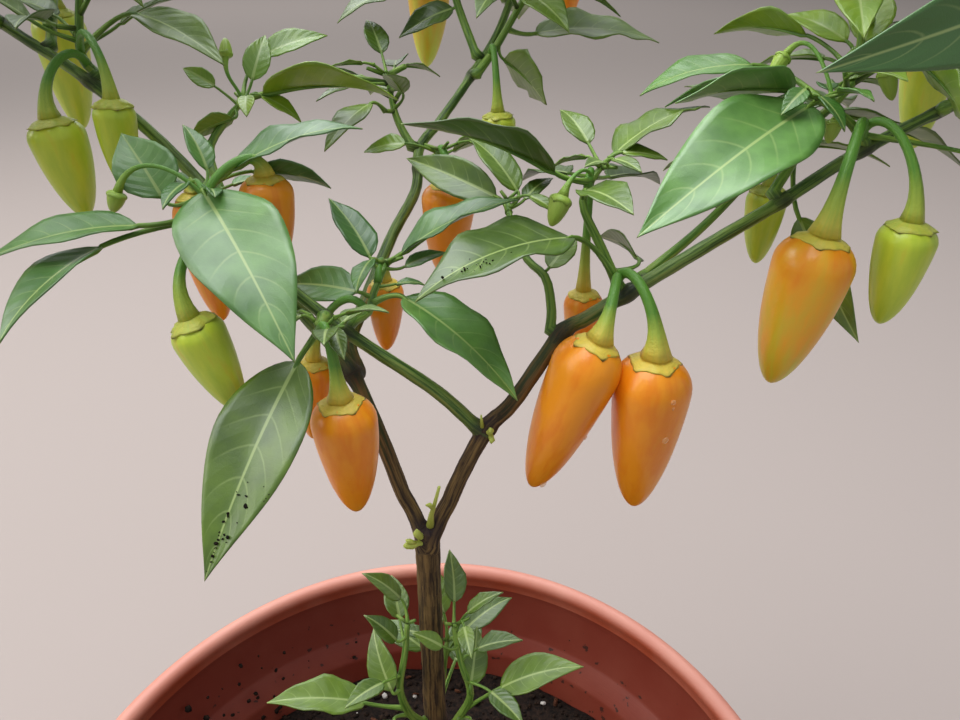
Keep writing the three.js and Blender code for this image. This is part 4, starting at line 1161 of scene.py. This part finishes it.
# Fruit: glossy peppers that hang from fleshy stalks. They swell pale yellow-green and ripen to a warm
# orange from the shoulder down, where a wrinkled cap sits that turns yellow with them. Flower buds
# and the resting buds on the old wood are of the same fleshy green.

FRUIT_COLUMNS = 40
FRUIT_ROWS = 34
SHOULDER = 0.2
CAP_TEETH = 5
CAP_ROWS = 9
STALK_STEPS = 16
BUD_WIDTH = 8
fruit_rng = np.random.default_rng(21)

fruit_shape, cap_shape, bud_shape = bmesh.new(), bmesh.new(), bmesh.new()
for shape, mark in ((fruit_shape, "ripe"), (cap_shape, "cap"), (bud_shape, "cap")):
    shape.verts.layers.float_vector.new("flesh")
    shape.verts.layers.float_vector.new(mark)
fruit_layers, cap_layers, bud_layers = [
    shape.verts.layers.float_vector.values() for shape in (fruit_shape, cap_shape, bud_shape)]


def fruit_point(fruit, turn, share, proud=0.0):
    """A point on a fruit's skin: soft lobes, a slight bend, a rounded shoulder and a blunt tip."""
    calyx, axis, across, up, length, width, lobes, bend, shift = fruit
    shoulder = math.sqrt(1 - (1 - min(1, share / SHOULDER)) ** 2)
    radius = 0.515 * width * max(0, 1 - share ** 1.9) ** 0.55 * shoulder
    radius *= 1 + lobes * math.cos(3 * turn + shift) * math.sin(math.pi * min(1, share * 1.15))
    radius *= 1 + 0.02 * noise.noise(Vector((math.cos(turn), math.sin(turn), 3 * share + shift)))
    middle = calyx + axis * (length * share) + across * (bend * length * math.sin(math.pi * share))
    return middle + (across * math.cos(turn) + up * math.sin(turn)) * (radius + proud)


def grow_fruit(node, calyx, tip, width, ripeness, rise=1):
    """A fruit or a flower bud with its stalk and its cap."""
    own = fruit_rng.uniform()
    bud = width < BUD_WIDTH
    stalk = fruit_stalk(node, calyx, tip, rise)
    stops = [i / STALK_STEPS for i in range(STALK_STEPS + 1)]
    points = [stalk(t) for t in stops]
    frames = frames_along([*points, calyx.lerp(tip, 0.3), tip])
    across = frames[-1][1]
    axis = (tip - calyx).normalized()
    across = (across - axis * across.dot(axis)).normalized()
    up = axis.cross(across)
    length = (tip - calyx).length
    lobes, bend = fruit_rng.uniform(0.015, 0.045), fruit_rng.uniform(-0.02, 0.02)
    fruit = (calyx, axis, across, up, length, width, lobes, bend, fruit_rng.uniform(0, 6.28))
    stem = 0.55 if bud else 0.65 + width * 0.04
    flare = (0.26 if bud else 0.2) * width
    radii = [stem * (0.88 + 0.12 * t + 0.3 * math.exp(-t * 12)) + (flare - stem) * t ** 7 for t in stops]
    edge_share, tooth_share, proud = 0.2, 0.1, 0.3
    if not bud:
        edge_ratio = min(0.95, (0.21 + 1.9 / width + 0.06 * (1 - ripeness)) / 0.515)
        edge_share = SHOULDER * (1 - math.sqrt(1 - edge_ratio ** 2))
        tooth_share = 0.016
        proud = 0.3 + 0.5 * (1 - ripeness)
    last_row = len(points) + CAP_ROWS + 2
    yellow_cap = 0.5 + 0.45 * ripeness

    def place_cap(u, v):
        turn = 2 * math.pi * u
        row = round(v * last_row)
        if row == 0:
            return points[0], (0, 0, 0), (0, 0, own)
        if row <= len(points):
            _, sideways, upward = frames[row - 1]
            t = stops[row - 1]
            out = (sideways * math.cos(turn) + upward * math.sin(turn)) * radii[row - 1]
            ribs = 1 + 0.04 * math.cos(CAP_TEETH * turn) * t
            yellow = yellow_cap * max(0, (t - 0.7) / 0.3) ** 0.8
            return points[row - 1] + out * ribs, (math.cos(turn), math.sin(turn), 20 * t), (yellow, 0, own)
        tooth = abs(math.cos(CAP_TEETH / 2 * turn + own)) ** 10
        if row < last_row - 1:
            along = (row - len(points)) / CAP_ROWS
            share = (edge_share + tooth_share * tooth) * along ** 1.6
            bumps = (0.3 + proud) * noise.noise(Vector((3 * math.cos(turn), 3 * math.sin(turn),
                                                        4 * along + own * 9)))
            on_skin = fruit_point(fruit, turn, share, proud * (1 - 0.4 * along) + bumps * along * (not bud))
            start = points[-1] + (across * math.cos(turn) + up * math.sin(turn)) * radii[-1]
            blend = min(1, along * 2.2)
            point = start.lerp(on_skin, blend * blend * (3 - 2 * blend))
            dark = max(0, tooth - 0.6) * 2.5 * max(0, along - 0.85) * 6.7
            return point, (math.cos(turn), math.sin(turn), 20 + 3 * along), (yellow_cap, dark, own)
        share = edge_share + tooth_share * tooth
        if row < last_row:
            under = fruit_point(fruit, turn, share * 0.9, -0.5)
            return under, (math.cos(turn), math.sin(turn), 23), (yellow_cap, 0, own)
        return calyx + axis * (0.3 * length * edge_share), (0, 0, 23), (yellow_cap, 0, own)

    shape, layers = (bud_shape, bud_layers) if bud else (cap_shape, cap_layers)
    skin(shape, 20 if bud else FRUIT_COLUMNS, last_row, place_cap, layers)

    def place_skin(u, v):
        turn = 2 * math.pi * u
        share = (1 - math.cos(math.pi * v)) / 2
        point = fruit_point(fruit, turn, share)
        flat = (math.cos(turn), math.sin(turn), 0.12 * share * length + own * 50)
        reached = ripeness + 6.75 * ripeness ** 2 * (1 - ripeness) * (0.1 - 0.36 * share)
        return point, flat, ((share, reached, own) if not bud else (0.6, 0, own))

    if bud:
        skin(bud_shape, 16, 12, place_skin, bud_layers)
    else:
        skin(fruit_shape, FRUIT_COLUMNS, FRUIT_ROWS, place_skin, fruit_layers)
    return fruit


grown = [grow_fruit(*fruit) for fruit in fruits]

# Resting buds and short stubs on the old wood: places along each, and its radius at each place.
bark_buds = [
    ([(9, 0, 417), (9.5, -1.6, 422), (10.6, -3.2, 427), (12.2, -5, 434.6)], [1.2, 0.75, 0.55, 0.4]),
    ([(10, -2.4, 425), (9.4, -4, 427.6), (8.6, -5, 428.4)], [0.5, 0.7, 0.3]),
    ([(8, -1, 412), (5.6, -3, 413), (4, -4.2, 413.4), (2.6, -5, 414), (1.8, -5.4, 414.2)],
     [1.2, 0.8, 1.2, 1.0, 0.3]),
    ([(4.8, -3.8, 413.7), (3.4, -4.8, 415.4), (2.6, -5.2, 416.2)], [0.7, 0.8, 0.3]),
    ([(7, 0, 413), (6, -2.8, 415.4), (5.5, -3.8, 417.4), (5.6, -4.1, 419)], [1.2, 1.0, 1.1, 0.3]),
    ([(24.6, 8, 444), (25.6, 5.6, 444.8), (26, 4.6, 446), (25.7, 4.2, 447)], [1.0, 0.9, 0.8, 0.3]),
    ([(24.6, 8, 444), (26, 5.7, 443.3), (26.3, 4.7, 442.7), (25.9, 4.1, 442.2)], [1.0, 0.8, 0.8, 0.3]),
    ([(23.6, 6.4, 446), (23.4, 5.4, 449), (23.3, 5.2, 450.6)], [0.6, 0.4, 0.2]),
]
for points, radii in bark_buds:
    marks = [((1.0, 0, 0.5),)] * len(points)
    tube(bud_shape, [Vector(point) for point in points], radii, 10, bud_layers, marks)


def streaked_ramp(tree, share, stretch, low, high, stops):
    """Colours that follow a share, moved on by low to high in streaks drawn out along the fruit."""
    flesh = add_node(tree, "Attribute", attribute_name="flesh").outputs["Vector"]
    drawn_out = add_node(tree, "Mapping", {0: flesh, "Scale": stretch})
    streaks = add_node(tree, "TexNoise", {"Vector": drawn_out, "Scale": 1, "Detail": 3})
    uneven = add_node(tree, "MapRange", {"Value": streaks, "From Min": 0.3, "From Max": 0.7,
                                         "To Min": low, "To Max": high})
    stage = add_node(tree, "Math", {0: share, 1: uneven}, operation="ADD")
    ramp = add_node(tree, "ValToRGB", {0: stage})
    for i, (place, colour) in enumerate(stops):
        stop = ramp.color_ramp.elements[i] if i < 2 else ramp.color_ramp.elements.new(place)
        stop.position = place
        stop.color = linear(colour)
    return flesh, ramp


def pepper_skin(name):
    """Taut waxy fruit skin: it ripens in soft streaks from the shoulder down, and shines like wet paint."""
    made, tree, shader = new_material(name, 0.36, 0.5)
    ripe = add_node(tree, "Attribute", attribute_name="ripe").outputs["Vector"]
    reached = add_node(tree, "SeparateXYZ", {0: ripe}).outputs["Y"]
    flesh, paint = streaked_ramp(tree, reached, (2, 2, 0.6), -0.14, 0.1, [
        (0.0, "#A2C834"), (0.28, "#C9DC40"), (0.5, "#DCC032"), (0.72, "#F5AC22"), (0.9, "#F58C08"),
        (1.0, "#FB9D16")])
    dimples = add_node(tree, "TexNoise", {"Vector": flesh, "Scale": 3.5, "Detail": 2})
    relief = add_node(tree, "Bump", {"Height": dimples, "Strength": 0.25, "Distance": 0.0005})
    wire(tree, shader, {"Base Color": paint, "Normal": relief, "Coat Weight": 0.15, "Coat Roughness": 0.1})
    return made


def stalk_skin(name, *colours):
    """Fleshy stalk skin: smooth green that turns yellow and wrinkled where it spreads over the shoulder."""
    made, tree, shader = new_material(name, 0.42)
    cap = add_node(tree, "Attribute", attribute_name="cap").outputs["Vector"]
    yellowed, dried, _ = add_node(tree, "SeparateXYZ", {0: cap}).outputs
    flesh, paint = streaked_ramp(tree, yellowed, (5, 5, 0.25), -0.07, 0.07, zip((0, 0.5, 1), colours))
    tips = add_node(tree, "Mix", {0: dried, 6: paint, 7: linear("#2B1D12")}, data_type="RGBA",
                    clamp_factor=True)
    wrinkles = add_node(tree, "TexNoise", {"Vector": flesh, "Scale": 3.2, "Detail": 5})
    relief = add_node(tree, "Bump", {"Height": wrinkles, "Strength": 0.4, "Distance": 0.0006})
    wire(tree, shader, {"Base Color": tips, "Normal": relief})
    return made


keep_piece("pepper_fruits", mesh_of("pepper_fruits", fruit_shape), [pepper_skin("pepper_skin")], "fruit_skin")
keep_piece("fruit_stalks", mesh_of("fruit_stalks", cap_shape), [
    stalk_skin("fruit_stalk_skin", "#5A9030", "#ABC048", "#E8CC50")], "green_bark")
keep_piece("flower_buds", mesh_of("flower_buds", bud_shape), [
    stalk_skin("flower_bud_skin", "#639634", "#93B446", "#B8C456")], "green_bark")


# Soil on the leaves: crumbs splashed up by rain, still stuck to two of the lower blades.
# Each patch: spray, leaf, share along the blade, ratio across it, how far it spreads, crumbs.

soil_patches = [
    ("spray_fruit_pair", 0, 0.62, -0.35, 0.09, 16),
    ("spray_fruit_pair", 0, 0.8, -0.1, 0.06, 6),
    ("spray_front_fruit", 0, 0.72, -0.25, 0.1, 16),
    ("spray_front_fruit", 0, 0.86, 0.0, 0.05, 10),
    ("spray_front_fruit", 0, 0.6, -0.8, 0.05, 5),
]
speck_places = []
for name, index, share, ratio, spread, count in soil_patches:
    _, base, lie, width = leaves[name][index]
    for i in range(count):
        s = share + leaf_rng.normal() * spread
        r = min(0.9, max(-0.9, ratio + 2 * leaf_rng.normal() * spread))
        half = half_width(s, width)
        # The blade folds up on either side of its midrib, and the crumb lies on top of it.
        spot = blade_point(base, lie, s, r * half, 0.19 * half * (abs(r) - 0.14) + 0.2)
        speck_places.append(tumbled(spot, 0.35 + 1.0 * leaf_rng.uniform() ** 3, 0.6))
keep_piece("soil_specks", copies("soil_specks", grain_shape(), speck_places), [
    loose_earth("dried_soil_specks", "#120D0A", "#2E2118", 0.8)], "potting_soil")


# Dew: a few drops of water that hang on the ripe fruits.
# Each drop: fruit, share along it, turn round it from the front in degrees, radius.

DROP_FLATNESS = 0.45
dew_drops = [(1, 0.17, 22, 0.8), (1, 0.21, 24, 0.5), (1, 0.42, 24, 1.1), (0, 0.93, 40, 1.2),
             (0, 0.56, 75, 0.8)]
drops = bmesh.new()
for index, share, turn, radius in dew_drops:
    _, axis, across, up, *_ = grown[index]
    front = Vector((math.sin(math.radians(turn)), -math.cos(math.radians(turn)), 0))
    front = (front - axis * front.dot(axis)).normalized()
    around = math.atan2(front.dot(up), front.dot(across))
    spot = fruit_point(grown[index], around, share, 0.05 * radius)
    outward = fruit_point(grown[index], around, share, 1) - fruit_point(grown[index], around, share, 0)
    turned = outward.to_track_quat("Z", "Y").to_matrix().to_4x4()
    placed = Matrix.Translation(spot) @ turned @ Matrix.Diagonal((1, 1, DROP_FLATNESS, 1))
    bmesh.ops.create_uvsphere(drops, u_segments=16, v_segments=10, radius=radius, matrix=placed)
# Water is seen through and glints with a sharp highlight. Its pale cream colour is painted: it stands in for
# the fruit seen through the drop and for the light gathered by it, which makes the drop paler.
water = new_material("water_painted_pale", 0.02, 1.0, **{"Base Color": linear("#FFD08A"), "Alpha": 0.4})[0]
keep_piece("dew_drops", mesh_of("dew_drops", drops), [water], "fruit_skin")


# Floor, light and camera: a pale matt floor under an overcast sky, brighter from the left, from above
# and from far behind, which lays the sheen on the leaves. The camera looks down as in the photograph.

CAMERA_PLACE = (23, -162, 560)
CAMERA_PITCH = 29
FOCAL_PIXELS = 749
IMAGE_WIDTH = 960
SENSOR_WIDTH = 36
PLANT_MIDDLE = (0, 0, 450)

floor_shape = bmesh.new()
bmesh.ops.create_grid(floor_shape, x_segments=1, y_segments=1, size=40000)
floor = put("studio_floor", mesh_of("studio_floor", floor_shape))
# Matt paint keeps the floor an even pale tone without a shine.
floor.data.materials.append(new_material("pale_matt_floor", 0.9, 0.2, **{"Base Color": linear("#9B918B")})[0])

sky = bpy.data.worlds.new("pale_sky")
sky.use_nodes = True
wire(sky.node_tree, sky.node_tree.nodes["Background"], {"Color": linear("#E6E8EC"), "Strength": 0.5})
bpy.context.scene.world = sky


def softbox(name, place, size, power, colour):
    """A square area light that faces the middle of the plant, with its place and size in millimetres."""
    light = bpy.data.lights.new(name, "AREA")
    light.shape = "SQUARE"
    light.size = size * MM
    light.energy = power
    light.color = linear(colour)[:3]
    lamp = put(name, light)
    lamp.visible_camera = False
    lamp.location = Vector(place) * MM
    lamp.rotation_euler = (Vector(PLANT_MIDDLE) - Vector(place)).to_track_quat("-Z", "Y").to_euler()


softbox("key_light", (-2300, -100, 2000), 2200, 45, "#FFFAF2")
softbox("open_sky", (-450, 450, 2500), 2600, 90, "#F6F8FF")
softbox("back_sky", (-2800, 7800, 7100), 11000, 630, "#F8F8FA")

lens = bpy.data.cameras.new("camera")
lens.sensor_width = SENSOR_WIDTH
lens.lens = SENSOR_WIDTH * FOCAL_PIXELS / IMAGE_WIDTH
lens.clip_start = 0.01
lens.clip_end = 100
camera = put("camera", lens)
camera.location = Vector(CAMERA_PLACE) * MM
camera.rotation_euler = (math.radians(90 - CAMERA_PITCH), 0, 0)
bpy.context.scene.camera = camera
bpy.context.scene.view_settings.view_transform = "Standard"
